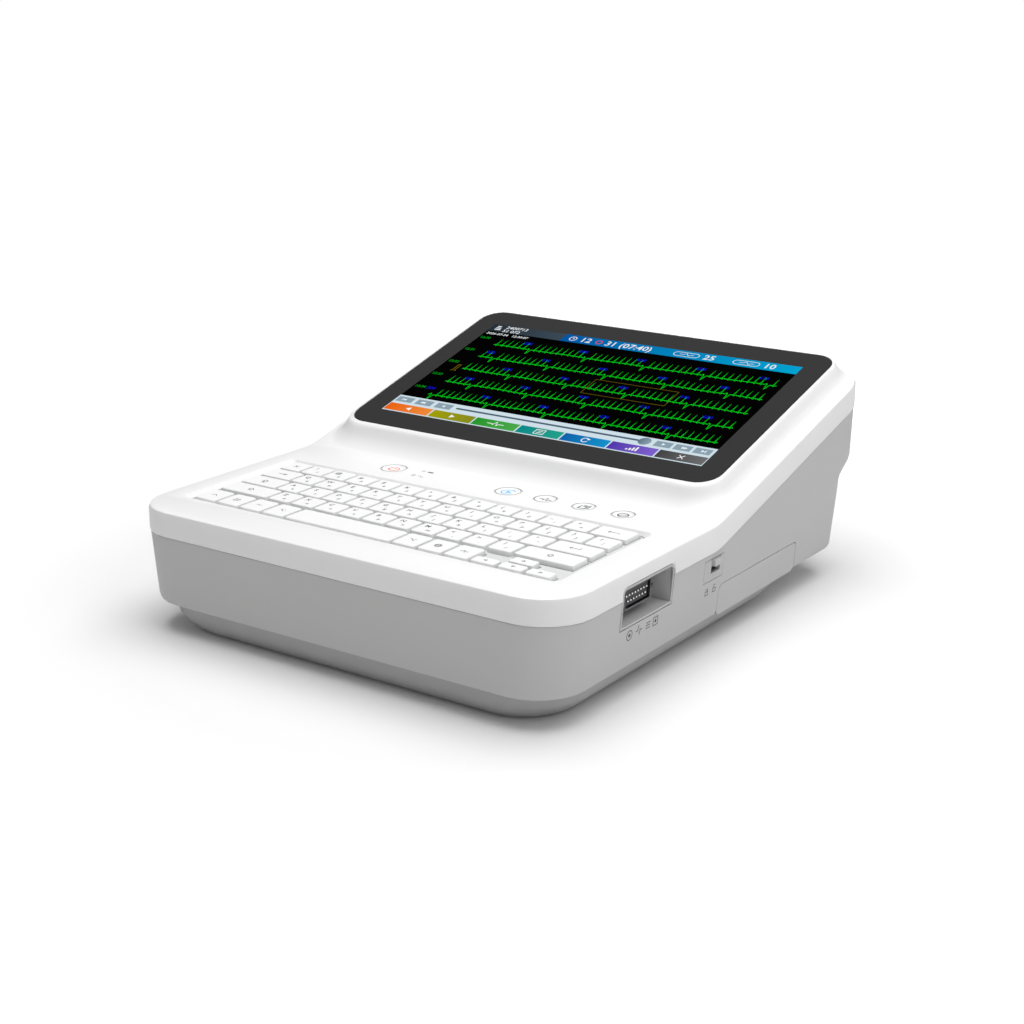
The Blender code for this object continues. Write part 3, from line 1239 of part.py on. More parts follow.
def populated_board(name, box, bottom, blocks):
    """A circuit board with blocks on it; each block is (share across, share along, width, depth, height)."""
    left, right, near, far = box
    sheet = box_mesh(name, (left, near, bottom), (right, far, bottom + BOARD_THICKNESS))
    board = add_object(name, sheet, "board_green")
    low = bottom + BOARD_THICKNESS / 2
    meshes = []
    for across, along, wide, deep, tall in blocks:
        x = left + across * (right - left)
        y = near + along * (far - near)
        corner = (x - wide / 2, y - deep / 2, low)
        high = (x + wide / 2, y + deep / 2, bottom + BOARD_THICKNESS + tall)
        meshes.append(box_mesh("block", corner, high))
    shape_with(board, "UNION", "blocks", joined("blocks", meshes))
    return board


def make_electronics():
    """The main board, the power supply and the loudspeaker."""
    populated_board("main_board", main_board_box(), MAIN_BOARD_HEIGHT, MAIN_BOARD_BLOCKS)
    populated_board("power_supply", supply_box(), SUPPLY_HEIGHT, SUPPLY_BLOCKS)
    low = PAN_BOTTOM + PAN_WALL + GAP
    profile = [(SPEAKER_RADIUS * reach, low + SPEAKER_DEPTH * rise) for reach, rise in SPEAKER_SHARES]
    place = (SPEAKER_X, FRONT + SPEAKER_FROM_FRONT, 0)
    add_object("loudspeaker", turned("loudspeaker", profile, 24, place), "dark_plastic", place)


def port_block_width():
    """Width of the block that holds the data ports."""
    return 2 * PORT_PITCH + PORT_SIZES[0][0] + 2 * PORT_BLOCK_MARGIN


def port_block_height():
    """Height of the block that holds the data ports."""
    return max(size[1] for size in PORT_SIZES) + 2 * PORT_BLOCK_MARGIN


def inlet_face():
    """Y of the inlet flange's inner face, just clear of the drafted rear wall."""
    return rear_y(INLET_HEIGHT + INLET_FLANGE[1] / 2) + GAP


def make_rear_connectors():
    """The mains inlet, the data ports and the earth stud in the lower rear wall."""
    face = inlet_face()
    radius = INLET_CORNER
    wide, tall = INLET_SIZE
    low = INLET_HEIGHT - tall / 2
    outline = rounded_rectangle(INLET_X - wide / 2, INLET_X + wide / 2, low, low + tall, radius, 3)
    rings = [[(x, y, z) for x, z in outline] for y in (face - INLET_DEPTH, face + INLET_FLANGE[2] / 2)]
    inlet = add_object("mains_inlet", loft("mains_inlet", rings), "dark_plastic")
    wide, tall, thin = INLET_FLANGE
    flange = centred_box("flange", (INLET_X, face + thin / 2, INLET_HEIGHT), (wide, thin, tall))
    shape_with(inlet, "UNION", "flange", flange)
    outer_face = face + thin
    wide, tall, deep = INLET_CAVITY
    cavity_y = outer_face - deep / 2 + OVERRUN / 2
    cavity = centred_box("cavity", (INLET_X, cavity_y, INLET_HEIGHT), (wide, deep + OVERRUN, tall))
    shape_with(inlet, "DIFFERENCE", "cavity", cavity)
    blades = []
    base = outer_face - INLET_CAVITY[2]
    for index, lift in enumerate(BLADE_LIFT_SHARES):
        x = INLET_X + (index - 1) * BLADE_SPACING
        z = INLET_HEIGHT + lift * BLADE_SIZE[1]
        thin, tall = (size / 2 for size in BLADE_SIZE)
        low = (x - thin, base - GAP, z - tall)
        blades.append(box_mesh("blade", low, (x + thin, base + BLADE_REACH, z + tall)))
    shape_with(inlet, "UNION", "blades", joined("blades", blades))
    face = rear_y(PORT_HEIGHT + port_block_height() / 2)
    middle_x = PORT_X + PORT_PITCH
    centre = (middle_x, face - PORT_BLOCK_DEPTH / 2, PORT_HEIGHT)
    block = centred_box("port_block", centre, (port_block_width(), PORT_BLOCK_DEPTH, port_block_height()))
    ports = add_object("port_block", block, "dark_plastic")
    sockets = []
    for i, (wide, tall) in enumerate(PORT_SIZES):
        x = PORT_X + i * PORT_PITCH
        place = (x, face - PORT_CAVITY_DEPTH / 2 + OVERRUN / 2, PORT_HEIGHT)
        sockets.append(centred_box("socket", place, (wide, PORT_CAVITY_DEPTH + OVERRUN, tall)))
    shape_with(ports, "DIFFERENCE", "sockets", joined("sockets", sockets))
    stud_face = rear_y(PORT_HEIGHT + STUD_COLLAR) + GAP
    profile = [
        (STUD_RADIUS, stud_face - 2 * CASE_WALL),
        (STUD_RADIUS, stud_face),
        (STUD_COLLAR, stud_face),
        (STUD_COLLAR, stud_face + STUD_COLLAR_THICKNESS),
        (STUD_RADIUS, stud_face + STUD_COLLAR_THICKNESS),
        (STUD_RADIUS, stud_face + STUD_REACH),
    ]
    add_object("earth_stud", turned("earth_stud", profile, 16, (STUD_X, 0, PORT_HEIGHT), "Y"), "metal")


def build():
    """Builds the whole machine."""
    clear_scene()
    make_upper_cover()
    make_lower_case()
    make_base_pan()
    make_feet()
    make_battery()
    make_screen()
    make_keyboard()
    make_deck_controls()
    make_patient_socket()
    make_latch()
    make_drawer()
    make_printer()
    make_electronics()
    make_rear_connectors()


build()
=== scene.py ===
"""Finishes, legends, screen picture and small fittings of a resting ECG machine, over its CAD model.

Metres, +Z up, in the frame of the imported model: the origin is the middle of the footprint, the operator works
from the -Y side, and the patient socket, the latch and the paper drawer are on the +X side.
"""

import logging
import math
from dataclasses import dataclass, field
from enum import Enum
from typing import Any, Sequence

import bpy
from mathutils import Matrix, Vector


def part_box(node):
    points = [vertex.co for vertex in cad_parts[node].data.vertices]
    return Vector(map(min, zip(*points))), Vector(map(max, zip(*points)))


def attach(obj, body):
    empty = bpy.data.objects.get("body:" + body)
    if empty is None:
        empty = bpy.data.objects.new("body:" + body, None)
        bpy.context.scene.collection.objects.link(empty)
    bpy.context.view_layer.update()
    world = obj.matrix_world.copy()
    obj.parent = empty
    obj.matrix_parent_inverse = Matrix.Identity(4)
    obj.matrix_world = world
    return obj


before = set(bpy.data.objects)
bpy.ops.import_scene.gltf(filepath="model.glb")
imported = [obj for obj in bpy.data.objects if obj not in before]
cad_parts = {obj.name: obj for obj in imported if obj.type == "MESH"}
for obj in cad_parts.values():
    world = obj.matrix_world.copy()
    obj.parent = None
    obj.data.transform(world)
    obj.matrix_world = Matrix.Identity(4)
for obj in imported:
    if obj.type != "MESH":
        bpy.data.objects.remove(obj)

LOG = logging.getLogger("ecg_machine")
NODES: dict[str, bpy.types.Object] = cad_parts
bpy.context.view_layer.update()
MM = 0.001
WHITE = (1.0, 1.0, 1.0, 1.0)
RIGHT, BACK, UP = Vector((1, 0, 0)), Vector((0, 1, 0)), Vector((0, 0, 1))
Point = tuple[float, float]
Points = Sequence[Point]
Sides = list[tuple[int, ...]]
Solid = tuple[list[Vector], Sides]


class Slot(Enum):
    """Names of material slots that each added piece is passed; its finish comes from its own Finish."""

    COVER = "cover_white"
    CASE = "case_grey"
    GLASS = "screen_glass"
    KEYS = "key_white"
    BUTTONS = "button_white"
    DARK = "dark_plastic"
    METAL = "plated_metal"


def linear(code: str) -> tuple[float, float, float, float]:
    """Turns an sRGB hex colour into a linear one.

    Args:
        code: The colour as "#RRGGBB".

    Returns:
        Linear red, green and blue, and an alpha of one.
    """
    parts = [int(code[i : i + 2], 16) / 255 for i in (1, 3, 5)]
    red, green, blue = (p / 12.92 if p <= 0.04045 else ((p + 0.055) / 1.055) ** 2.4 for p in parts)
    return red, green, blue, 1.0


def add_node(
    tree: Any, kind: str, settings: dict[str, Any] | None = None, inputs: dict[Any, Any] | None = None
) -> Any:
    """Adds one node with its settings and links.

    Args:
        tree: The node tree to add to.
        kind: The node's type name.
        settings: Values for the node's own properties.
        inputs: Values or output sockets for its inputs, by name or number.

    Returns:
        The new node.
    """
    made = tree.nodes.new(kind)
    for name, value in (settings or {}).items():
        setattr(made, name, value)
    for key, value in (inputs or {}).items():
        if isinstance(value, bpy.types.NodeSocket):
            tree.links.new(value, made.inputs[key])
        else:
            made.inputs[key].default_value = value
    return made


# Finishes


@dataclass(frozen=True)
class Finish:
    """A surface finish that is made once as a procedural material."""

    name: str
    colour: str
    roughness: float = 0.5

    def material(self) -> bpy.types.Material:
        """The finish as a material, made the first time it is asked for.

        Returns:
            The Blender material.
        """
        found = bpy.data.materials.get(self.name)
        if found:
            return found
        made = bpy.data.materials.new(self.name)
        made.use_nodes = True
        tree = made.node_tree
        tree.nodes.clear()
        place = add_node(tree, "ShaderNodeTexCoord").outputs["Object"]
        shader = self.shade(tree, place)
        add_node(tree, "ShaderNodeOutputMaterial", inputs={"Surface": shader.outputs[0]})
        made.diffuse_color = linear(self.colour)
        return made

    def shade(self, tree: Any, place: Any) -> Any:
        """Builds the shader; each kind of finish has its own.

        Args:
            tree: The material's node tree.
            place: The object coordinates in metres.

        Returns:
            The shader node.
        """
        raise NotImplementedError

    def mottled(self, tree: Any, place: Any, size_mm: float, amount: float) -> Any:
        """A colour that drifts a little over the surface.

        Args:
            tree: The material's node tree.
            place: The coordinates to follow.
            size_mm: Width of one patch.
            amount: How much darker the dark patches are, from 0 to 1.

        Returns:
            The colour socket.
        """
        pattern = {"Vector": place, "Scale": 1 / (size_mm * MM), "Detail": 3.0}
        noise = add_node(tree, "ShaderNodeTexNoise", inputs=pattern)
        base = linear(self.colour)
        dark = (*(value * (1 - amount) for value in base[:3]), 1.0)
        mix = add_node(tree, "ShaderNodeMix", {"data_type": "RGBA"}, {0: noise.outputs[0], 6: base, 7: dark})
        return mix.outputs[2]

    def varied_roughness(self, tree: Any, place: Any, size_mm: float, spread: float) -> Any:
        """A roughness that wanders by a spread about the finish's own.

        Args:
            tree: The material's node tree.
            place: The coordinates to follow.
            size_mm: Width of one patch.
            spread: Half of the range.

        Returns:
            The roughness socket.
        """
        pattern = {"Vector": place, "Scale": 1 / (size_mm * MM), "Detail": 2.0}
        noise = add_node(tree, "ShaderNodeTexNoise", inputs=pattern)
        limits = {"Value": noise.outputs[0], "To Min": self.roughness - spread, "To Max": self.roughness + spread}
        return add_node(tree, "ShaderNodeMapRange", inputs=limits).outputs[0]


@dataclass(frozen=True)
class MouldedPlastic(Finish):
    """Injection-moulded plastic: an even colour, a fine spark-eroded grain and edges that the mould leaves soft."""

    grain_mm: float = 0.5
    grain_depth: float = 0.10
    edge_mm: float = 0.35
    patch: float = 0.012
    # Painted shade: a darker colour taken on low down, below the given top, standing in for shadow.
    painted_shade_colour: str = ""
    painted_shade_top: float = 0.0
    painted_shade_depth: float = 0.002

    def shade(self, tree: Any, place: Any) -> Any:
        """Builds the moulded surface; see Finish.shade for Args and Returns."""
        edge = add_node(tree, "ShaderNodeBevel", {"samples": 4}, {"Radius": self.edge_mm * MM})
        # The real grain is about 0.1 mm; it is drawn coarser so that it shows at all.
        pattern = {"Vector": place, "Scale": 1 / (self.grain_mm * MM), "Detail": 2.0}
        grain = add_node(tree, "ShaderNodeTexNoise", inputs=pattern).outputs[0]
        relief = {"Height": grain, "Strength": self.grain_depth, "Distance": 0.05 * MM, "Normal": edge.outputs[0]}
        colour = self.mottled(tree, place, 45.0, self.patch)
        # Painted shade: below the given top the colour fades to the shade colour, standing in for the shadow low
        # between the keys.
        if self.painted_shade_colour:
            height = add_node(tree, "ShaderNodeSeparateXYZ", inputs={0: place}).outputs["Z"]
            limits = {"Value": height, "From Min": self.painted_shade_top - self.painted_shade_depth, "From Max": self.painted_shade_top}
            share = add_node(tree, "ShaderNodeMapRange", inputs=limits).outputs[0]
            ends = {0: share, 6: linear(self.painted_shade_colour), 7: colour}
            colour = add_node(tree, "ShaderNodeMix", {"data_type": "RGBA"}, ends).outputs[2]
        values = {
            "Base Color": colour,
            "Roughness": self.varied_roughness(tree, place, 14.0, 0.03),
            "IOR": 1.52,
            "Normal": add_node(tree, "ShaderNodeBump", inputs=relief).outputs[0],
        }
        return add_node(tree, "ShaderNodeBsdfPrincipled", inputs=values)


@dataclass(frozen=True)
class CoverLens(Finish):
    """Hard-coated acrylic over a black print: an even, near-black face with a low sheen."""

    def shade(self, tree: Any, place: Any) -> Any:
        """Builds the pane; see Finish.shade for Args and Returns."""
        values = {
            "Base Color": self.mottled(tree, place, 60.0, 0.02),
            "Roughness": self.varied_roughness(tree, place, 20.0, 0.02),
            "IOR": 1.49,
            "Specular IOR Level": 0.10,
        }
        return add_node(tree, "ShaderNodeBsdfPrincipled", inputs=values)


@dataclass(frozen=True)
class LitPixels(Finish):
    """Part of the liquid-crystal picture: it gives its own light, from one colour to another along X."""

    second: str = ""
    start: float = 0.0
    end: float = 1.0
    strength: float = 0.92

    def shade(self, tree: Any, place: Any) -> Any:
        """Builds the lit surface; see Finish.shade for Args and Returns."""
        across = add_node(tree, "ShaderNodeSeparateXYZ", inputs={0: place}).outputs["X"]
        limits = {"Value": across, "From Min": self.start, "From Max": self.end}
        share = add_node(tree, "ShaderNodeMapRange", inputs=limits).outputs[0]
        ends = {0: share, 6: linear(self.colour), 7: linear(self.second or self.colour)}
        values = {
            "Base Color": (0.0005, 0.0005, 0.0005, 1.0),
            "Roughness": self.roughness,
            "Specular IOR Level": 0.0,
            "Emission Color": add_node(tree, "ShaderNodeMix", {"data_type": "RGBA"}, ends).outputs[2],
            "Emission Strength": self.strength,
        }
        return add_node(tree, "ShaderNodeBsdfPrincipled", inputs=values)


@dataclass(frozen=True)
class PadPrint(Finish):
    """Pad-printed ink: thin, matt and a little uneven in tone."""

    def shade(self, tree: Any, place: Any) -> Any:
        """Builds the ink; see Finish.shade for Args and Returns."""
        values = {
            "Base Color": self.mottled(tree, place, 1.2, 0.10),
            "Roughness": self.varied_roughness(tree, place, 0.8, 0.05),
            "Specular IOR Level": 0.3,
        }
        return add_node(tree, "ShaderNodeBsdfPrincipled", inputs=values)


@dataclass(frozen=True)
class MouldedRubber(Finish):
    """Compression-moulded nitrile rubber: black, dull and finely pebbled."""

    def shade(self, tree: Any, place: Any) -> Any:
        """Builds the rubber; see Finish.shade for Args and Returns."""
        pebble = add_node(tree, "ShaderNodeTexVoronoi", inputs={"Vector": place, "Scale": 1 / (0.7 * MM)})
        relief = {"Height": pebble.outputs[0], "Strength": 0.25, "Distance": 0.05 * MM}
        values = {
            "Base Color": self.mottled(tree, place, 6.0, 0.25),
            "Roughness": self.varied_roughness(tree, place, 4.0, 0.06),
            "Normal": add_node(tree, "ShaderNodeBump", inputs=relief).outputs[0],
        }
        return add_node(tree, "ShaderNodeBsdfPrincipled", inputs=values)


@dataclass(frozen=True)
class WorkedMetal(Finish):
    """Rolled, turned or plated metal: fine drawn lines along one axis."""

    stretch: tuple[float, float, float] = (1.0, 0.08, 1.0)

    def shade(self, tree: Any, place: Any) -> Any:
        """Builds the metal; see Finish.shade for Args and Returns."""
        factors = {0: place, 1: self.stretch}
        drawn = add_node(tree, "ShaderNodeVectorMath", {"operation": "MULTIPLY"}, factors).outputs[0]
        lines = add_node(tree, "ShaderNodeTexNoise", inputs={"Vector": drawn, "Scale": 1 / (0.3 * MM)})
        relief = {"Height": lines.outputs[0], "Strength": 0.08, "Distance": 0.02 * MM}
        values = {
            "Base Color": self.mottled(tree, drawn, 0.8, 0.10),
            "Metallic": 1.0,
            "Roughness": self.varied_roughness(tree, drawn, 0.6, 0.06),
            "Normal": add_node(tree, "ShaderNodeBump", inputs=relief).outputs[0],
        }
        return add_node(tree, "ShaderNodeBsdfPrincipled", inputs=values)


@dataclass(frozen=True)
class MaskedLaminate(Finish):
    """Glass-epoxy circuit board under solder mask: green, with the tracks showing as lighter lines."""

    track_gain: float = 2.2

    def shade(self, tree: Any, place: Any) -> Any:
        """Builds the board; see Finish.shade for Args and Returns."""
        cells = {"Vector": place, "Scale": 1 / (5.0 * MM)}
        tracks = add_node(tree, "ShaderNodeTexVoronoi", {"feature": "DISTANCE_TO_EDGE"}, cells)
        edge = {"Value": tracks.outputs[0], "From Min": 0.03, "From Max": 0.06}
        share = add_node(tree, "ShaderNodeMapRange", inputs=edge).outputs[0]
        base = linear(self.colour)
        light = (*(min(1.0, value * self.track_gain) for value in base[:3]), 1.0)
        mix = add_node(tree, "ShaderNodeMix", {"data_type": "RGBA"}, {0: share, 6: light, 7: base})
        values = {"Base Color": mix.outputs[2], "Roughness": self.varied_roughness(tree, place, 3.0, 0.05)}
        return add_node(tree, "ShaderNodeBsdfPrincipled", inputs=values)


@dataclass(frozen=True)
class ChartPaper(Finish):
    """Fan-folded thermal paper: a smooth pale sheet with a faint millimetre grid."""

    line: str = "#E9A8A0"
    grids: tuple[Point, ...] = ((1.0, 0.08), (5.0, 0.05))

    def shade(self, tree: Any, place: Any) -> Any:
        """Builds the paper; see Finish.shade for Args and Returns."""
        colour: Any = linear(self.colour)
        for size, width in self.grids:
            inputs = {"Vector": place, "Color1": colour, "Color2": colour, "Mortar": linear(self.line)}
            inputs |= {"Scale": 1 / MM, "Mortar Size": width * size / 2, "Brick Width": size, "Row Height": size}
            colour = add_node(tree, "ShaderNodeTexBrick", {"offset": 0.0, "squash": 1.0}, inputs).outputs[0]
        values = {"Base Color": colour, "Roughness": self.varied_roughness(tree, place, 5.0, 0.04)}
        return add_node(tree, "ShaderNodeBsdfPrincipled", inputs=values)


# Cover: bright cool white, matt enough that highlights spread wide.
COVER_ABS = MouldedPlastic("abs_moulded_white", "#ECECEC", 0.42, grain_depth=0.05)
# Case: mid grey with a visible fine grain.
CASE_ABS = MouldedPlastic("abs_moulded_grey", "#C0C0C0", 0.55)
# Pan and battery door: the same grain in a darker grey.
PAN_ABS = MouldedPlastic("abs_moulded_dark_grey", "#ABABAB", 0.60, grain_depth=0.12)
# Key caps: white, polished by fingers on top, with painted shade low down between the keys that greys the key sides
# and the plate where the wells fall into shadow.
KEY_ABS = MouldedPlastic(
    "abs_keycap_white", "#F0F0F0", 0.42, grain_depth=0.03, edge_mm=0.40, painted_shade_colour="#D2D3D3", painted_shade_top=0.0702
)
# Round buttons: white with a satin face that sets them off from the deck.
BUTTON_ABS = MouldedPlastic("abs_button_white", "#EFEFEF", 0.36, grain_depth=0.02, edge_mm=0.30)
# Connector bodies, display and loudspeaker: black glass-filled nylon with a coarse grain.
NYLON_BLACK = MouldedPlastic("nylon_moulded_black", "#2B2B2E", 0.50, grain_depth=0.15)
# Insulators in the sockets: dark grey, so that the contacts stand out.
NYLON_GREY = MouldedPlastic("nylon_moulded_grey", "#3A3A3B", 0.50)
# Gears: creamy white and slippery.
ACETAL = MouldedPlastic("acetal_moulded_cream", "#E8E4D6", 0.35, grain_depth=0.02)
# Indicator lenses: frosted, faintly green while unlit.
LENS_ACRYLIC = MouldedPlastic("acrylic_frosted_lens", "#B9C4BC", 0.30, grain_depth=0.02)
# Battery wrap: dark shrink sleeve with a soft sheen.
BATTERY_WRAP = MouldedPlastic("pvc_sleeve_blue_grey", "#39434E", 0.42, grain_depth=0.08)
# Screen pane: an even black border with hardly a reflection.
PANE = CoverLens("acrylic_coated_pane", "#2D2D2D", 0.34)
# Feet: dull black.
RUBBER = MouldedRubber("nitrile_rubber_black", "#242424", 0.80)
# Platen: the same rubber, ground smoother.
PLATEN_RUBBER = MouldedRubber("nitrile_rubber_ground", "#2E2E30", 0.65)
# Screws and blades: bright nickel plate.
NICKEL = WorkedMetal("nickel_plated_steel", "#C9C7C2", 0.28)
# Socket shell: dull tin plate, darker than the screws.
TIN = WorkedMetal("tin_plated_shell", "#77777A", 0.42)
# Socket contacts: bright tips that catch the light.
TIPS = WorkedMetal("nickel_contact_tips", "#F2F2F2", 0.22, (1.0, 1.0, 1.0))
# Earth stud: warm turned brass.
BRASS = WorkedMetal("brass_turned", "#D9B978", 0.32, (1.0, 1.0, 1.0))
# Printer chassis and motor can: pale zinc plate with drawn lines.
ZINC = WorkedMetal("zinc_plated_sheet", "#BFC3C6", 0.38)
# Circuit boards: green mask with copper tracks under it.
LAMINATE = MaskedLaminate("epoxy_board_masked", "#1E6A3C", 0.42)
# Recording paper in the drawer: pale with a faint red grid.
PAPER = ChartPaper("thermal_paper_ruled", "#F6EFEA", 0.62)
# Legends on the keys, signs on the deck and marks on the case: matt greys that read without shining.
INK_GREY = PadPrint("ink_pad_grey", "#55575A", 0.60)
INK_DARK = PadPrint("ink_pad_dark_grey", "#5C5E61", 0.60)
INK_SIDE = PadPrint("ink_pad_side_grey", "#505254", 0.60)
# Painted shade: a thin dark ring that stands in for the shadow in the gap round each button's edge.
PAINTED_SHADE_RING = PadPrint("painted_shade_ring_grey", "#7C7E80", 0.60)
# The two coloured button signs.
INK_ORANGE = PadPrint("ink_pad_orange", "#F05A28", 0.55)
INK_BLUE = PadPrint("ink_pad_blue", "#40B8F0", 0.55)


# Flat artwork


@dataclass
class Face:
    """A flat face of the object that artwork is laid on."""

    origin: Vector
    across: Vector = field(default_factory=lambda: RIGHT)
    up: Vector = field(default_factory=lambda: BACK)

    def point(self, u: float, v: float, lift: float) -> Vector:
        """Place of a point given across, up and off the face."""
        return self.origin + self.across * u + self.up * v + self.across.cross(self.up) * lift


def in_mm(points: Points, u: float = 0.0, v: float = 0.0, scale: float = 1.0) -> list[Point]:
    """Points given in millimetres about a middle, in metres."""
    return [(u + a * MM * scale, v + b * MM * scale) for a, b in points]


def loop(points: Points) -> list[Point]:
    """The points with the first again at the end, which closes a line."""
    return [*points, points[0]]


def arc(u: float, v: float, radius: float, start: float, end: float, steps: int = 16) -> list[Point]:
    """Points along an arc.

    Args:
        u: Centre across.
        v: Centre up.
        radius: Its radius.
        start: First angle in degrees.
        end: Last angle in degrees.
        steps: Number of points.

    Returns:
        The points in order.
    """
    angles = [math.radians(start + (end - start) * i / (steps - 1)) for i in range(steps)]
    return [(u + radius * math.cos(a), v + radius * math.sin(a)) for a in angles]


def circle(u: float, v: float, radius: float, steps: int = 24) -> list[Point]:
    """Points of a circle about a centre, anticlockwise."""
    return arc(u, v, radius, 0.0, 360.0 - 360.0 / steps, steps)


def rectangle(left: float, right: float, low: float, high: float) -> list[Point]:
    """The four corners of an upright rectangle."""
    return [(left, low), (right, low), (right, high), (left, high)]


def ribbon(points: Points, width: float, closed: bool) -> tuple[list[Point], Sides]:
    """A line of even width through points, with joined corners.

    Args:
        points: The line's points.
        width: Its width.
        closed: Whether the last point joins the first.

    Returns:
        The outline's points and its quads.
    """
    count = len(points)
    edges: list[Point] = []
    for i, (u, v) in enumerate(points):
        before = points[i - 1] if closed or i else points[0]
        after = points[(i + 1) % count] if closed or i < count - 1 else points[-1]
        one = Vector((u - before[0], v - before[1]))
        two = Vector((after[0] - u, after[1] - v))
        one = one.normalized() if one.length else two.normalized()
        two = two.normalized() if two.length else one
        way = (one + two).normalized() if (one + two).length > 1e-6 else one
        reach = width / 2 / max(0.55, abs(way.dot(two)))
        edges += [(u - way.y * reach, v + way.x * reach), (u + way.y * reach, v - way.x * reach)]
    last = count if closed else count - 1
    return edges, [(2 * i, 2 * i + 1, 2 * ((i + 1) % count) + 1, 2 * ((i + 1) % count)) for i in range(last)]


class Lettering:
    """Plain characters of Blender's own font as flat faces, each made once."""

    known: dict[str, tuple[list[Point], Sides]] = {}

    @classmethod
    def faces(cls, text: str) -> tuple[list[Point], Sides]:
        """Faces of a short text, one unit high.

        Args:
            text: Digits, single characters or signs.

        Returns:
            Its points and faces.
        """
        if text not in cls.known:
            curve = bpy.data.curves.new("lettering", "FONT")
            curve.body = text
            curve.resolution_u = 2
            curve.offset = 0.012
            holder = bpy.data.objects.new("lettering", curve)
            bpy.context.scene.collection.objects.link(holder)
            bpy.context.view_layer.update()
            mesh = bpy.data.meshes.new_from_object(holder.evaluated_get(bpy.context.evaluated_depsgraph_get()))
            cls.known[text] = ([(v.co.x, v.co.y) for v in mesh.vertices], [tuple(p.vertices) for p in mesh.polygons])
            bpy.data.objects.remove(holder)
            bpy.data.curves.remove(curve)
            bpy.data.meshes.remove(mesh)
        return cls.known[text]


@dataclass
class Artwork:
    """Shapes in one finish, laid on one face and joined in one thin piece."""

    face: Face
    finish: Finish
    lift: float = 0.00005
    film: float = 0.00002
    points: list[Vector] = field(default_factory=list)
    faces: Sides = field(default_factory=list)

    def add(self, points: Points, faces: Sequence[Sequence[int]]) -> None:
        """Adds faces given by their points across and up the face.

        Args:
            points: The points.
            faces: Numbers of the points of each face.
        """
        start = len(self.points)
        self.points += [self.face.point(u, v, self.lift) for u, v in points]
        self.faces += [tuple(start + i for i in face) for face in faces]

    def fill(self, outline: Points) -> None:
        """Adds one filled outline."""
        self.add(outline, [range(len(outline))])

    def line(self, points: Points, width: float) -> None:
        """Adds a line of even width, closed where it ends on its first point."""
        closed = points[0] == points[-1]
        self.add(*ribbon(points[:-1] if closed else points, width, closed))

    def text(self, words: str, u: float, v: float, size: float, centred: bool = True) -> None:
        """Adds characters.

        Args:
            words: Digits, single characters or signs.
            u: Their middle across, or their left where centred is off.
            v: Their base line.
            size: The font's size.
            centred: Whether u is the middle.
        """
        points, faces = Lettering.faces(words)
        left = u - max(x for x, _ in points) * size / 2 if centred else u
        self.add([(left + x * size, v + y * size) for x, y in points], faces)

    def emit(self, name: str, slot: Slot, body: str = "housing") -> None:
        """Makes the piece, which rides on a body."""
        mesh = bpy.data.meshes.new(name)
        mesh.from_pydata(self.points, [], self.faces)
        film = add_piece(name, mesh, self.finish, body).modifiers.new("film", "SOLIDIFY")
        film.thickness = self.film
        film.offset = -1.0


def add_piece(name: str, mesh: bpy.types.Mesh, finish: Finish, body: str = "housing") -> bpy.types.Object:
    """Links a mesh as a piece that rides on a body.

    Args:
        name: The piece's name.
        mesh: Its mesh in the frame's metres.
        finish: Its finish.
        body: The body it rides on.

    Returns:
        The new object.
    """
    made = bpy.data.objects.new(name, mesh)
    mesh.materials.append(finish.material())
    bpy.context.scene.collection.objects.link(made)
    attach(made, body)
    LOG.info("%s rides on %s", name, body)
    return made


def add_solids(name: str, parts: Sequence[Solid], finish: Finish) -> None:
    """Joins solids in one smooth-shaded piece with sharp corners, on the housing.

    Args:
        name: The piece's name.
        parts: Points and faces of each solid.
        finish: Its finish.
    """
    points: list[Vector] = []
    faces: Sides = []
    for corners, sides in parts:
        start = len(points)
        points += corners
        faces += [tuple(start + i for i in side) for side in sides]
    mesh = bpy.data.meshes.new(name)
    mesh.from_pydata(points, [], faces)
    mesh.shade_smooth()
    mesh.set_sharp_from_angle(angle=math.radians(35))
    add_piece(name, mesh, finish)


def turned(points: Points, base: Vector, axis: Vector, steps: int) -> Solid:
    """A turned solid from radius and distance pairs.

    Args:
        points: Radius and distance along the axis, in order.
        base: A point on the axis.
        axis: The axis's direction.
        steps: Number of sides.

    Returns:
        Its points and faces.
    """
    side = axis.orthogonal().normalized()
    other = axis.cross(side)
    ring = [math.tau * i / steps for i in range(steps)]
    corners = [base + axis * d + (side * math.cos(a) + other * math.sin(a)) * r for r, d in points for a in ring]
    faces: Sides = [tuple(reversed(range(steps)))]
    for low in range(0, (len(points) - 1) * steps, steps):
        for i in range(steps):
            j = (i + 1) % steps
            faces.append((low + i, low + j, low + steps + j, low + steps + i))
    faces.append(tuple(range((len(points) - 1) * steps, len(points) * steps)))
    return corners, faces


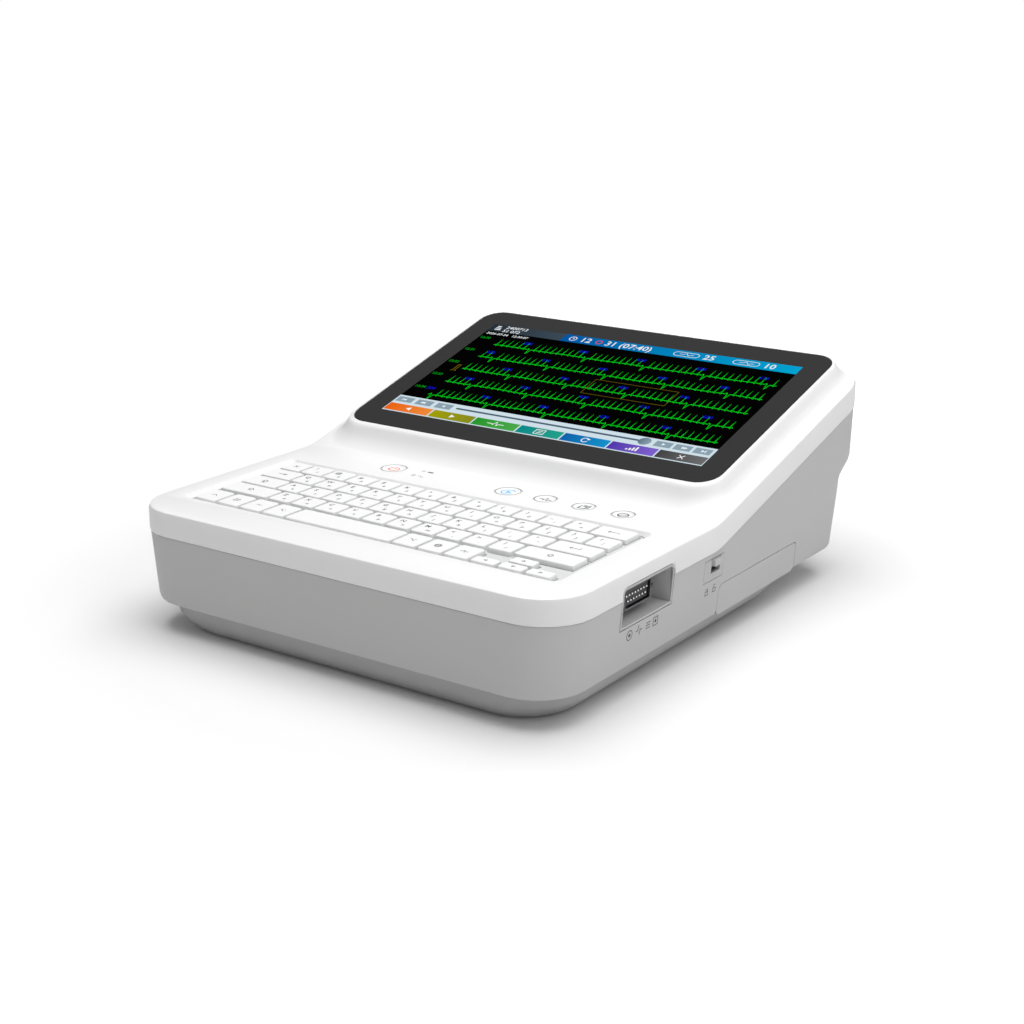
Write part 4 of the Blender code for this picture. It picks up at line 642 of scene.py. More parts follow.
class SmoothFaces:
    """A modifier that shades a CAD solid smoothly and keeps its corners sharp."""

    group: Any = None
    weld_distance = 0.000002
    sharp_angle = math.radians(30)

    @classmethod
    def build(cls) -> Any:
        """Makes the node group, which joins split corners and then marks each steep edge as sharp.

        Returns:
            The node group, made at the first call.
        """
        if cls.group:
            return cls.group
        tree = cls.group = bpy.data.node_groups.new("smooth_faces", "GeometryNodeTree")
        for way in ("INPUT", "OUTPUT"):
            tree.interface.new_socket("Geometry", in_out=way, socket_type="NodeSocketGeometry")
        start = add_node(tree, "NodeGroupInput").outputs[0]
        weld = add_node(tree, "GeometryNodeMergeByDistance", inputs={"Geometry": start, "Distance": cls.weld_distance})
        smooth = add_node(tree, "GeometryNodeSetShadeSmooth", inputs={0: weld.outputs[0], "Shade Smooth": True})
        angle = add_node(tree, "GeometryNodeInputMeshEdgeAngle").outputs[0]
        test = {"data_type": "FLOAT", "operation": "GREATER_THAN"}
        sharp = add_node(tree, "FunctionNodeCompare", test, {0: angle, 1: cls.sharp_angle})
        edges = {0: smooth.outputs[0], "Selection": sharp.outputs[0], "Shade Smooth": False}
        crease = add_node(tree, "GeometryNodeSetShadeSmooth", {"domain": "EDGE"}, edges)
        add_node(tree, "NodeGroupOutput", inputs={0: crease.outputs[0]})
        return tree

    @classmethod
    def dress(cls, finish: Finish, *nodes: str) -> None:
        """Gives CAD nodes a finish and smooth shading.

        Args:
            finish: The finish.
            nodes: Names of the nodes.
        """
        for node in nodes:
            solid = NODES[node]
            solid.data.materials.clear()
            solid.data.materials.append(finish.material())
            solid.modifiers.new("smooth_faces", "NODES").node_group = cls.build()
            LOG.info("%s is finished in %s", node, finish.name)


# Sub-assemblies


@dataclass
class Housing:
    """Upper cover, lower case, base pan, feet and battery bay."""

    width: float = 0.283
    depth: float = 0.3355
    deck: float = 0.0705
    band: float = 0.0142
    parting: float = 0.0003
    draft: float = math.radians(5.4)
    screw_profile: tuple[Point, ...] = ((0.0026, 0.0), (0.00234, 0.0004), (0.0013, 0.0006))
    screw_inset: float = 0.0030
    screw_sunk: float = 0.00065

    @property
    def front(self) -> float:
        """Y of the front."""
        return -self.depth / 2

    def side_x(self, z: float) -> float:
        """Half width of the case's drafted side at a height."""
        return self.width / 2 - self.parting - max(0.0, self.deck - self.band - z) * math.tan(self.draft)

    def side_face(self, from_front: float, height: float) -> Face:
        """The right side of the case about a point, seen from the right.

        Args:
            from_front: Distance from the front.
            height: Height above the table.

        Returns:
            The face.
        """
        place = Vector((self.side_x(height), self.front + from_front, height))
        return Face(place, BACK, Vector((math.sin(self.draft), 0, math.cos(self.draft))))

    def build(self) -> None:
        """Finishes the housing and adds the screws of the battery door."""
        SmoothFaces.dress(COVER_ABS, "upper_cover")
        SmoothFaces.dress(CASE_ABS, "lower_case")
        SmoothFaces.dress(PAN_ABS, "base_pan", "battery_door")
        SmoothFaces.dress(BATTERY_WRAP, "battery_pack")
        SmoothFaces.dress(RUBBER, "foot_front_left", "foot_front_right", "foot_rear_left", "foot_rear_right")
        low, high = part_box("battery_door")
        ends = (low.x + self.screw_inset, high.x - self.screw_inset)
        places = [Vector((x, (low.y + high.y) / 2, low.z + self.screw_sunk)) for x in ends]
        screws = [turned(self.screw_profile, place, -UP, 16) for place in places]
        add_solids("battery_door_screws", screws, NICKEL)


@dataclass
class ScreenPicture:
    """The pane and the picture behind it: a header, five traces, a scroll bar and seven soft keys."""

    housing: Housing
    from_front: float = 0.1677
    rise: float = 0.0149
    tilt: float = math.radians(15.16)
    level_height: float = 0.00003
    half_width: float = 0.1114
    low: float = 0.0175
    high: float = 0.1414
    key_top: float = 0.0265
    key_gap: float = 0.0005
    scroll_middle: float = 0.0317
    scroll_top: float = 0.0365
    scroll_steps: tuple[float, ...] = (0.0148, 0.0126)
    knob_x: float = 0.0669
    knob_radius: float = 0.0040
    header_low: float = 0.1317
    header_left: float = -0.055
    small_text: float = 0.0036
    key_edges: tuple[float, ...] = (-0.1114, -0.0777, -0.0458, -0.0138, 0.0170, 0.0488, 0.0801, 0.1114)
    key_colours: tuple[tuple[str, str], ...] = (
        ("#F4640C", "#F5903C"),
        ("#A7A400", "#8D9020"),
        ("#249A28", "#4DB04E"),
        ("#0C8E8E", "#22A68E"),
        ("#0E63B0", "#1496D2"),
        ("#5238B0", "#8464D4"),
        ("#444446", "#707072"),
    )
    baselines: tuple[float, ...] = (0.1144, 0.0968, 0.0789, 0.0608, 0.0426)
    trace_start: float = -0.0945
    beat: float = 0.00421
    trace_width: float = 0.00043
    # One beat as share of its length and height in millimetres, plain and early.
    plain: tuple[Point, ...] = (
        (0.10, 0.0), (0.20, 0.5), (0.30, 0.0), (0.40, -0.2), (0.48, 8.2), (0.56, -1.0), (0.66, 0.0), (0.80, 0.6),
        (0.92, 0.1),
    )
    early: tuple[Point, ...] = (
        (0.10, 0.0), (0.30, 1.6), (0.46, 0.6), (0.60, -5.4), (0.74, -4.2), (0.88, -0.6), (0.98, 0.2)
    )

    def layer(
        self, finish: str, level: int, first: str, second: str = "", start: float = 0.0, end: float = 1.0
    ) -> Artwork:
        """An empty layer of the picture, blended from one colour to another where a second is given.

        Args:
            finish: The finish's name.
            level: How many layers lie below it.
            first: Its colour, at the start.
            second: Its colour at the end.
            start: X of the start.
            end: X of the end.

        Returns:
            The layer.
        """
        place = Vector((0, self.housing.front + self.from_front, self.housing.deck + self.rise))
        pane = Face(place, RIGHT, Vector((0, math.cos(self.tilt), math.sin(self.tilt))))
        lit = LitPixels(finish, first, second=second, start=start, end=end)
        return Artwork(pane, lit, 0.00004 + self.level_height * level)

    def tile(self, name: str, finish: str, level: int, box: tuple[float, ...], first: str, second: str = "") -> None:
        """Adds one filled rectangle.

        Args:
            name: The piece's name.
            finish: The finish's name.
            level: How many layers lie below it.
            box: Its left, right, low and high edges.
            first: Its colour, at the left.
            second: Its colour at the right, where it is blended.
        """
        art = self.layer(finish, level, first, second, box[0], box[1])
        art.fill(rectangle(*box))
        art.emit(name, Slot.GLASS)

    def build(self) -> None:
        """Finishes the pane and lays the picture on it."""
        SmoothFaces.dress(PANE, "screen_glass")
        SmoothFaces.dress(NYLON_BLACK, "display_panel")
        half = self.half_width
        self.tile("screen_background", "screen_black", 0, (-half, half, self.low, self.high), "#010101")
        self.header()
        self.traces()
        self.scroll_bar()
        self.soft_keys()

    def header(self) -> None:
        """Draws the dark and blue bands at the top with plain numbers and signs."""
        half, edge, low, high = self.half_width, self.header_left, self.header_low, self.high
        self.tile("screen_header_dark", "screen_slate", 1, (-half, edge, low, high), "#26323C", "#3D4C58")
        self.tile("screen_header_blue", "screen_blue_band", 1, (edge, half, low, high), "#0058A8", "#00A8D8")
        white = self.layer("screen_white", 2, "#F2F6F8")
        middle = (low + high) / 2
        for row in range(3):
            foot = middle - 0.0026 + 0.0021 * row
            white.fill(rectangle(-0.1075, -0.1030 - 0.0008 * row, foot, foot + 0.0012))
        for words, u, v, size in (
            ("2400713", -0.1005, middle + 0.0006, 0.0048),
            ("51 072", -0.1005, middle - 0.0042, 0.0048),
            ("31 (07:40)", edge + 0.0318, middle - 0.0027, 0.0082),
            ("2026-07-24   12:30:07", -0.1095, low - 0.0044, self.small_text),
        ):
            white.text(words, u, v, size, centred=False)
        clock = edge + 0.0075
        white.line(loop(circle(clock, middle, 0.0025)), 0.0006)
        white.line([(clock, middle + 0.0014), (clock, middle), (clock + 0.0013, middle)], 0.0005)
        white.text("12", edge + 0.0172, middle - 0.0027, 0.0082)
        wave = ((1.5, 0.0), (4.5, 0.0), (6.0, 1.4), (8.0, -1.2), (9.5, 0.0), (11.5, 0.0))
        for left, number in ((0.0290, "25"), (0.0700, "10")):
            outline = arc(left + 0.0125, middle, 0.0025, -90, 90, 8) + arc(left, middle, 0.0025, 90, 270, 8)
            white.line(loop(outline), 0.00045)
            white.line(in_mm(wave, left, middle), 0.0004)
            white.text(number, left + 0.0220, middle - 0.0027, 0.0080)
        white.emit("screen_header_signs", Slot.GLASS)
        red = self.layer("screen_red", 2, "#E04860")
        red.line(loop(circle(edge + 0.0270, middle, 0.0021)), 0.0007)
        red.emit("screen_header_ring", Slot.GLASS)

    def is_early(self, row: int, beat: int) -> bool:
        """Whether a beat of a row is an early one."""
        return (beat + 4 * row) % 10 == 6

    def heartbeat(self, row: int, count: int) -> list[Point]:
        """One row's trace, with a broad early beat now and then.

        Args:
            row: The row, from the top.
            count: Number of beats.

        Returns:
            Points across and up the pane.
        """
        points: list[Point] = [(0.0, 0.0)]
        for beat in range(count):
            shape = self.early if self.is_early(row, beat) else self.plain
            wander = 0.25 * math.sin(0.6 * beat + row)
            points += [((beat + share) * self.beat, (height + wander) * MM) for share, height in shape]
        return [(self.trace_start + u, self.baselines[row] + v) for u, v in points]

    def traces(self) -> None:
        """Draws the green traces, their row numbers, the blue marks over early beats and the amber signs."""
        green = self.layer("screen_green", 1, "#00EE22")
        deep = self.layer("screen_deep_green", 1, "#00A818")
        blue = self.layer("screen_deep_blue", 1, "#1212CC")
        count = int((self.half_width - self.trace_start) / self.beat)
        for row, base in enumerate(self.baselines):
            green.line(self.heartbeat(row, count), self.trace_width)
            deep.text(f"12:3{row}", 0.0012 - self.half_width, base + 0.0064, self.small_text, centred=False)
            for beat in range(count):
                if self.is_early(row, beat):
                    blue.text(str(204 + 9 * beat), self.trace_start + (beat - 0.8) * self.beat, base + 0.0060, 0.0043)
        green.emit("screen_traces", Slot.GLASS)
        deep.emit("screen_row_numbers", Slot.GLASS)
        blue.emit("screen_beat_numbers", Slot.GLASS)
        amber = self.layer("screen_amber", 2, "#75660E")
        amber.line(loop(rectangle(-0.0019, 0.0558, 0.0728, 0.0908)), 0.00032)
        pulse = ((0.0, 0.0), (1.2, 0.0), (1.2, 8.0), (3.0, 8.0), (3.0, 0.0), (4.2, 0.0))
        amber.line(in_mm(pulse, 0.0105 - self.half_width, 0.0750), 0.0005)
        amber.emit("screen_selection", Slot.GLASS)

    def scroll_bar(self) -> None:
        """Draws the pale band with small buttons at both ends, a slot and a knob."""
        half, middle, knob = self.half_width, self.scroll_middle, self.knob_x
        band = (-half, half, self.low - 0.0006, self.scroll_top)
        self.tile("screen_scroll_band", "screen_pale_band", 1, band, "#D7E8F1")
        grey = self.layer("screen_grey_blue", 2, "#8FA6B4")
        white = self.layer("screen_button_signs", 3, "#F4F8FA")
        for side, step, wide in zip((-1, 1), self.scroll_steps, (0.0060, 0.0054)):
            for number, arrows in enumerate((1, 2, 1)):
                centre = side * (0.1042 - step * number)
                grey.fill(rectangle(centre - wide, centre + wide, middle - 0.0030, middle + 0.0030))
                for arrow in range(arrows):
                    tip = centre + side * (0.0014 + 0.0016 * arrow)
                    back = tip - side * 0.0022
                    white.fill([(tip, middle), (back, middle + side * 0.0013), (back, middle - side * 0.0013)])
            edge = side * 0.1060
            white.fill(rectangle(edge - 0.0003, edge + 0.0003, middle - 0.0013, middle + 0.0013))
        grey.emit("screen_scroll_buttons", Slot.GLASS)
        slot = (-0.0653, knob, middle - 0.0009, middle + 0.0009)
        self.tile("screen_scroll_slot", "screen_slot_blue", 2, slot, "#4E6478")
        white.emit("screen_scroll_signs", Slot.GLASS)
        disc = self.layer("screen_knob", 4, "#5F7889", "#8FA6B5", knob - self.knob_radius, knob + self.knob_radius)
        disc.fill(circle(knob, middle, self.knob_radius))
        disc.emit("screen_scroll_knob", Slot.GLASS)

    def soft_keys(self) -> None:
        """Draws seven coloured soft keys, each with a plain sign, given in millimetres about its middle."""
        low, high = self.low + 0.0003, self.key_top - 0.0003
        for number, (first, second) in enumerate(self.key_colours):
            name = f"screen_soft_key_{number + 1}"
            box = (self.key_edges[number] + self.key_gap, self.key_edges[number + 1] - self.key_gap, low, high)
            self.tile(name, name, 2, box, first, second)
        signs = self.layer("screen_soft_key_signs", 3, "#FFFFFF")
        middle = (low + self.key_top) / 2
        bars = [rectangle(-3.8 + 2 * bar, -2.6 + 2 * bar, -2.2, -0.8 + bar) for bar in range(4)]
        fills: dict[int, list[Points]] = {
            0: [((-2.0, 0.0), (1.4, -1.9), (1.4, 1.9))],
            1: [((2.0, 0.0), (-1.4, 1.9), (-1.4, -1.9))],
            4: [((3.2, 1.2), (1.2, 2.2), (1.0, 0.2))],
            5: bars,
        }
        wave = ((-6.0, 0.0), (-2.5, 0.0), (-1.5, -1.0), (0.0, 2.6), (1.4, -1.8), (2.4, 0.0), (6.0, 0.0))
        lines: dict[int, list[tuple[float, Points]]] = {
            2: [(0.0006, wave)],
            3: [(0.0005, loop(rectangle(-3.2, 3.2, -2.4, 2.4)))]
            + [(0.0005, ((-1.8, level), (1.8, level))) for level in (-0.9, 0.9)],
            4: [(0.0006, arc(0.0, 0.0, 2.2, 40, 330))],
            6: [(0.0006, ((-1.8, -side * 1.8), (1.8, side * 1.8))) for side in (1, -1)],
        }
        for number, (left, right) in enumerate(zip(self.key_edges, self.key_edges[1:])):
            for outline in fills.get(number, []):
                signs.fill(in_mm(outline, (left + right) / 2, middle))
            for width, points in lines.get(number, []):
                signs.line(in_mm(points, (left + right) / 2, middle), width)
        signs.emit("screen_soft_key_signs", Slot.GLASS)


@dataclass
class Keyboard:
    """Key plate with its character keys, the separate keys and the board below."""

    housing: Housing
    pitch: float = 0.016475
    gap: float = 0.0016
    first_place: Point = (0.0048, 0.0088)
    second_place: Point = (0.0090, 0.0034)
    sizes: Point = (0.0043, 0.0036)
    stroke: float = 0.00042
    rows: tuple[tuple[str, str], ...] = (
        ("escape_key", "1234567890-="),
        ("tab_key", "QWERTYUIOP[]/"),
        ("caps_lock_key", "ASDFGHJKL;'"),
        ("left_shift_key", "ZXCVBNM,./"),
    )
    shifted: dict[str, str] = field(default_factory=lambda: dict(zip("1234567890-=[]/;',.", '!@#$%^&*()_+{}?:"<>')))

    def build(self) -> None:
        """Finishes the keyboard and prints its legends."""
        signs = self.signs()
        SmoothFaces.dress(KEY_ABS, "key_plate", *signs)
        SmoothFaces.dress(LAMINATE, "key_board")
        top = Face(UP * self.housing.deck)
        characters = Artwork(top, INK_GREY)
        for first, legends in self.rows:
            low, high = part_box(first)
            for number, legend in enumerate(legends):
                u = high.x + self.gap + number * self.pitch
                small = legend.lower() if legend.isalpha() else legend
                pair = (self.shifted.get(legend, legend), small)
                for words, place, size in zip(pair, (self.first_place, self.second_place), self.sizes):
                    characters.text(words, u + place[0], low.y + place[1], size)
        characters.emit("key_characters", Slot.KEYS)
        for name, strokes in signs.items():
            if not strokes:
                continue
            low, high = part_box(name)
            art = Artwork(top, INK_GREY)
            for points in strokes:
                art.line(in_mm(points, (low.x + high.x) / 2, (low.y + high.y) / 2), self.stroke)
            art.emit(f"{name}_legend", Slot.KEYS, name)

    def signs(self) -> dict[str, list[Points]]:
        """Lines of each separate key's sign.

        Returns:
            Points of each line in millimetres about the key's middle, by key.
        """
        shift = loop([(0.0, 1.8), (1.8, 0.0), (0.8, 0.0), (0.8, -1.6), (-0.8, -1.6), (-0.8, 0.0), (-1.8, 0.0)])
        small = loop([(0.0, 0.9), (0.9, -0.7), (-0.9, -0.7)])
        left = [(-y, x) for x, y in small]
        branch = [((-2.0, 1.0), (-0.8, 1.0), (0.8, -1.0), (2.0, -1.0)), ((0.8, 1.0), (2.0, 1.0))]
        meridian = [(0.9 * u, 1.9 * v) for u, v in circle(0.0, 0.0, 1.0, 16)]
        square = loop(rectangle(-1.5, 1.5, -1.5, 1.5))
        return {
            "escape_key": [((-1.3, -1.3), (1.3, 1.3)), ((-1.3, 1.3), (1.3, -1.3))],
            "backspace_key": [((3.6, 0.0), (-3.6, 0.0)), ((-2.2, 1.1), (-3.6, 0.0), (-2.2, -1.1))],
            "tab_key": [((-2.6, 0.0), (2.2, 0.0)), ((1.0, 1.0), (2.2, 0.0), (1.0, -1.0)), ((2.8, 1.2), (2.8, -1.2))],
            "caps_lock_key": [shift, ((-1.2, -2.4), (1.2, -2.4))],
            "enter_key": [((3.0, 1.6), (3.0, -0.4), (-3.0, -0.4)), ((-1.8, 0.7), (-3.0, -0.4), (-1.8, -1.5))],
            "left_shift_key": [shift],
            "right_shift_key": [shift],
            "control_key": [((-1.8, -0.8), (0.0, 1.0), (1.8, -0.8))],
            "function_key": [square, ((0.0, -0.7), (0.0, 0.7))],
            "accent_key": [((-1.8, -0.4), (-0.9, 0.4), (0.9, -0.4), (1.8, 0.4))],
            "left_alt_key": branch,
            "space_key": [],
            "right_alt_key": branch,
            "language_key": [loop(arc(0, 0, 1.9, 0, 345, 20)), ((-1.9, 0.0), (1.9, 0.0)), loop(meridian)],
            "filter_key": [((-2.4, 0.0), (-1.2, 0.0), (-0.4, 1.6), (0.5, -1.2), (1.1, 0.0), (2.4, 0.0))],
            "left_arrow_key": [left],
            "up_arrow_key": [small],
            "down_arrow_key": [[(x, -y) for x, y in small]],
            "right_arrow_key": [[(-x, y) for x, y in left]],
        }


@dataclass
class DeckControls:
    """The five round buttons, the two lights and their board."""

    housing: Housing
    dish: float = 0.0004
    stroke: float = 0.00080
    sign_scale: float = 1.15
    ring_width: float = 0.00038
    large_ring: float = 0.00715
    small_ring: float = 0.00610
    mark_gap: float = 0.0022

    def build(self) -> None:
        """Finishes the buttons, prints a sign in each dish, lays a thin ring of painted shade near each edge, and
        marks the lights.
        """
        auto_tip = ((-1.1, -1.9), (2.2, 0.0), (-1.1, 1.9))
        for name, (finish, radius, strokes) in self.signs().items():
            SmoothFaces.dress(BUTTON_ABS, name)
            low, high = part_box(name)
            middle = (low + high) / 2
            sign = Artwork(Face(Vector((middle.x, middle.y, self.housing.deck - self.dish))), finish)
            for points in strokes:
                sign.line(in_mm(points, scale=self.sign_scale), self.stroke)
            if name == "auto_button":
                sign.fill(in_mm(auto_tip))
            sign.emit(f"{name}_sign", Slot.BUTTONS, name)
            # Painted shade: a dark ring near the edge that stands in for the shadow in the gap round the button.
            ring = Artwork(Face(UP * high.z), PAINTED_SHADE_RING)
            ring.line(loop(circle(middle.x, middle.y, radius, 48)), self.ring_width)
            ring.emit(f"{name}_ring", Slot.BUTTONS, name)
        SmoothFaces.dress(LENS_ACRYLIC, "battery_light", "mains_light")
        SmoothFaces.dress(LAMINATE, "button_board")
        self.light_marks()

    def signs(self) -> dict[str, tuple[Finish, float, list[Points]]]:
        """Each button's ink, ring radius and sign.

        Returns:
            The ink, the radius and the points of each line in millimetres about the middle, by button.
        """
        wave = ((-3.4, 0.0), (-1.6, 0.0), (-0.8, -1.0), (0.2, 2.4), (1.2, -1.8), (1.8, 0.0), (3.4, 0.0))
        behind = ((-0.8, 1.4), (-0.8, 2.6), (2.4, 2.6), (2.4, -1.0), (1.2, -1.0))
        sheets = [loop(rectangle(-2.2, 1.2, -2.2, 1.4)), behind]
        barred = [loop(arc(0, 0, 2.6, 0, 340, 20)), ((-2.0, -1.6), (2.0, 1.6))]
        power = [arc(0, 0, 2.7, 125, 415, 24), ((0.0, 0.4), (0.0, 3.3))]
        return {
            "power_button": (INK_ORANGE, self.large_ring, power),
            "auto_button": (INK_BLUE, self.large_ring, [arc(0, 0, 3.4, 30, 330, 24)]),
            "rhythm_button": (INK_DARK, self.small_ring, [wave]),
            "copy_button": (INK_DARK, self.small_ring, sheets),
            "escape_button": (INK_DARK, self.small_ring, barred),
        }

    def light_marks(self) -> None:
        """Prints a battery and a mains sign beside the lights."""
        art = Artwork(Face(UP * self.housing.deck), INK_DARK)
        low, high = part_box("battery_light")
        u, v = high.x + self.mark_gap, (low.y + high.y) / 2
        art.fill(rectangle(u, u + 0.0036, v - 0.0009, v + 0.0009))
        art.fill(rectangle(u + 0.0036, u + 0.0041, v - 0.0004, v + 0.0004))
        low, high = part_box("mains_light")
        v = (low.y + high.y) / 2
        art.line([(u + 0.0040 * i / 12, v + 0.0008 * math.sin(math.tau * i / 12)) for i in range(13)], 0.0004)
        art.emit("deck_light_marks", Slot.COVER)


@dataclass
class PatientSocket:
    """The well in the right side, the fifteen-way socket and its screws."""

    housing: Housing
    insert_from: float = 0.0029
    insert_to: float = 0.0012
    insert_half: Point = (0.0120, 0.0042)
    insert_lean: float = 0.0009
    pin_rows: tuple[tuple[int, int], ...] = ((1, 8), (-1, 7))
    pin_profile: tuple[Point, ...] = ((0.00060, 0.0), (0.00060, 0.00063), (0.00036, 0.0009))
    pin_sunk: float = 0.0001
    pin_pitch: float = 0.00276
    row_spacing: float = 0.0030
    well_back: float = 0.00135
    jack_spacing: float = 0.0333
    jack_profile: tuple[Point, ...] = ((0.0026, 0.0), (0.0026, 0.0040), (0.0012, 0.0040), (0.0012, 0.0016))
    lip_inset: float = 0.0002
    lip_radius: float = 0.0030
    lip_width: float = 0.0012
    lip_out: float = 0.00008
    lip_depth: float = 0.0006
    fillet_over: float = 0.0009

    def build(self) -> None:
        """Finishes the socket and adds its insulator, contacts, screws, lip and marks."""
        SmoothFaces.dress(CASE_ABS, "socket_well")
        SmoothFaces.dress(TIN, "patient_socket")
        low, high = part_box("patient_socket")
        middle = Vector((high.x, (low.y + high.y) / 2, (low.z + high.z) / 2))
        half_y, half_z = self.insert_half
        near, far = middle.x - self.insert_from, middle.x - self.insert_to
        foot = half_y - self.insert_lean
        outline = [(-half_y, half_z), (-foot, -half_z), (foot, -half_z), (half_y, half_z)]
        corners = [Vector((near, middle.y + y, middle.z + z)) for y, z in outline]
        corners += [Vector((far, middle.y + y * 0.99, middle.z + z * 0.97)) for y, z in outline]
        sides: Sides = [(3, 2, 1, 0), (4, 5, 6, 7)]
        sides += [(i, (i + 1) % 4, (i + 1) % 4 + 4, i + 4) for i in range(4)]
        add_solids("socket_insulator", [(corners, sides)], NYLON_GREY)
        pins = []
        for row, count in self.pin_rows:
            for number in range(count):
                y = middle.y + (number - (count - 1) / 2) * self.pin_pitch
                base = Vector((far - self.pin_sunk, y, middle.z + row * self.row_spacing / 2))
                pins.append(turned(self.pin_profile, base, RIGHT, 8))
        add_solids("socket_contacts", pins, TIPS)
        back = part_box("socket_well")[0].x + self.well_back
        places = [Vector((back, middle.y + side * self.jack_spacing / 2, middle.z)) for side in (-1, 1)]
        jacks = [turned(self.jack_profile, place, RIGHT, 6) for place in places]
        add_solids("socket_jack_screws", jacks, NICKEL)
        self.rim()
        self.corner_fillets()
        self.marks()

    def mouth(self) -> tuple[float, float, float, float]:
        """Edges of the well's mouth.

        Returns:
            Its left, right, foot and head, inside the lip's inset.
        """
        low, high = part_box("socket_well")
        inset = self.lip_inset
        return low.y + inset, high.y - inset, low.z + inset, high.z - inset

    def rim(self) -> None:
        """Adds a thin lip with rounded upper corners round the well's mouth."""
        left, right, foot, head = self.mouth()
        radius = self.lip_radius
        outline = [(left, foot), (right, foot)]
        outline += arc(right - radius, head - radius, radius, 0, 90, 8)
        outline += arc(left + radius, head - radius, radius, 90, 180, 8)
        middle_y, middle_z = (left + right) / 2, (foot + head) / 2
        corners: list[Vector] = []
        wide, out = self.lip_width, self.lip_out
        for inset, reach in ((0.0, 0.0), (0.0, out), (wide, out), (wide, -self.lip_depth)):
            share_y, share_z = 1 - 2 * inset / (right - left), 1 - 2 * inset / (head - foot)
            for y, z in outline:
                height = middle_z + (z - middle_z) * share_z
                place = (self.housing.side_x(height) + reach, middle_y + (y - middle_y) * share_y, height)
                corners.append(Vector(place))
        count = len(outline)
        sides: Sides = []
        for level in range(4):
            a, b = level * count, (level + 1) % 4 * count
            sides += [(a + i, a + (i + 1) % count, b + (i + 1) % count, b + i) for i in range(count)]
        add_solids("socket_lip", [(corners, sides)], CASE_ABS)

    def corner_fillets(self) -> None:
        """Rounds the cover's two upper corners over the well."""
        left, right, _, head = self.mouth()
        radius, over = self.lip_radius, self.fillet_over
        art = Artwork(Face(RIGHT * self.housing.side_x(head), BACK, UP), COVER_ABS, self.lip_out * 1.5)
        for edge, side, start in ((right, 1, 0), (left, -1, 90)):
            bow = arc(edge - side * radius, head - radius, radius, start, start + 90, 8)[::side]
            outer = edge + side * over
            outline = bow + [(edge - side * radius, head + over), (outer, head + over), (outer, head - radius)]
            art.fill(outline[::side])
        art.emit("socket_corner_fillets", Slot.COVER)

    def marks(self) -> None:
        """Prints plain signs under the well."""
        art = Artwork(self.housing.side_face(0.0805, 0.0352), INK_SIDE)
        art.line(loop(in_mm(arc(-15.0, 0.0, 2.6, 0, 340, 20))), 0.00045)
        art.fill(in_mm(arc(-15.0, 0.0, 1.0, 0, 330, 12)))
        wave = ((-9.0, 0.0), (-7.4, 0.0), (-6.4, 2.8), (-5.4, -2.6), (-4.6, 0.0), (-3.0, 0.0))
        art.line(in_mm(wave), 0.00050)
        for level in (-1.5, 0.0, 1.5):
            art.line(in_mm(((1.0, level), (5.0, level))), 0.00045)
        art.line(loop(in_mm(rectangle(8.0, 12.4, -2.2, 2.2))), 0.00045)
        art.fill(in_mm(circle(10.2, 0.0, 0.9, 12)))
        art.emit("socket_marks", Slot.CASE)


@dataclass
class LatchAndDrawer:
    """The latch with its slider, the paper drawer and the paper."""

    housing: Housing
    stroke: float = 0.0004

    def build(self) -> None:
        """Finishes the latch and the drawer, and prints a shut and an open lock by the latch."""
        SmoothFaces.dress(CASE_ABS, "latch_plate", "latch_slider", "paper_drawer")
        SmoothFaces.dress(PAPER, "paper_stack")
        art = Artwork(self.housing.side_face(0.1486, 0.0345), INK_SIDE)
        for left in (-5.2, 3.0):
            art.line(loop(in_mm(rectangle(left - 1.5, left + 1.5, -1.6, 0.4))), self.stroke)
        shut = ((-6.1, 0.4), (-6.1, 1.6), (-5.2, 2.2), (-4.3, 1.6), (-4.3, 0.4))
        for shackle in (shut, ((2.1, 0.4), (2.1, 2.0), (3.0, 2.6), (3.9, 2.0))):
            art.line(in_mm(shackle), self.stroke)
        art.emit("latch_marks", Slot.CASE)


@dataclass
class PrinterAndBoards:
    """The printer over the drawer, the boards, the supply and the loudspeaker."""

    def build(self) -> None:
        """Finishes the inner pieces."""
        SmoothFaces.dress(ZINC, "printer_chassis", "print_head", "feed_motor")
        SmoothFaces.dress(PLATEN_RUBBER, "platen_roller")
        SmoothFaces.dress(ACETAL, "platen_gear", "drive_pinion")
        SmoothFaces.dress(LAMINATE, "main_board", "power_supply")
        SmoothFaces.dress(NYLON_BLACK, "loudspeaker")


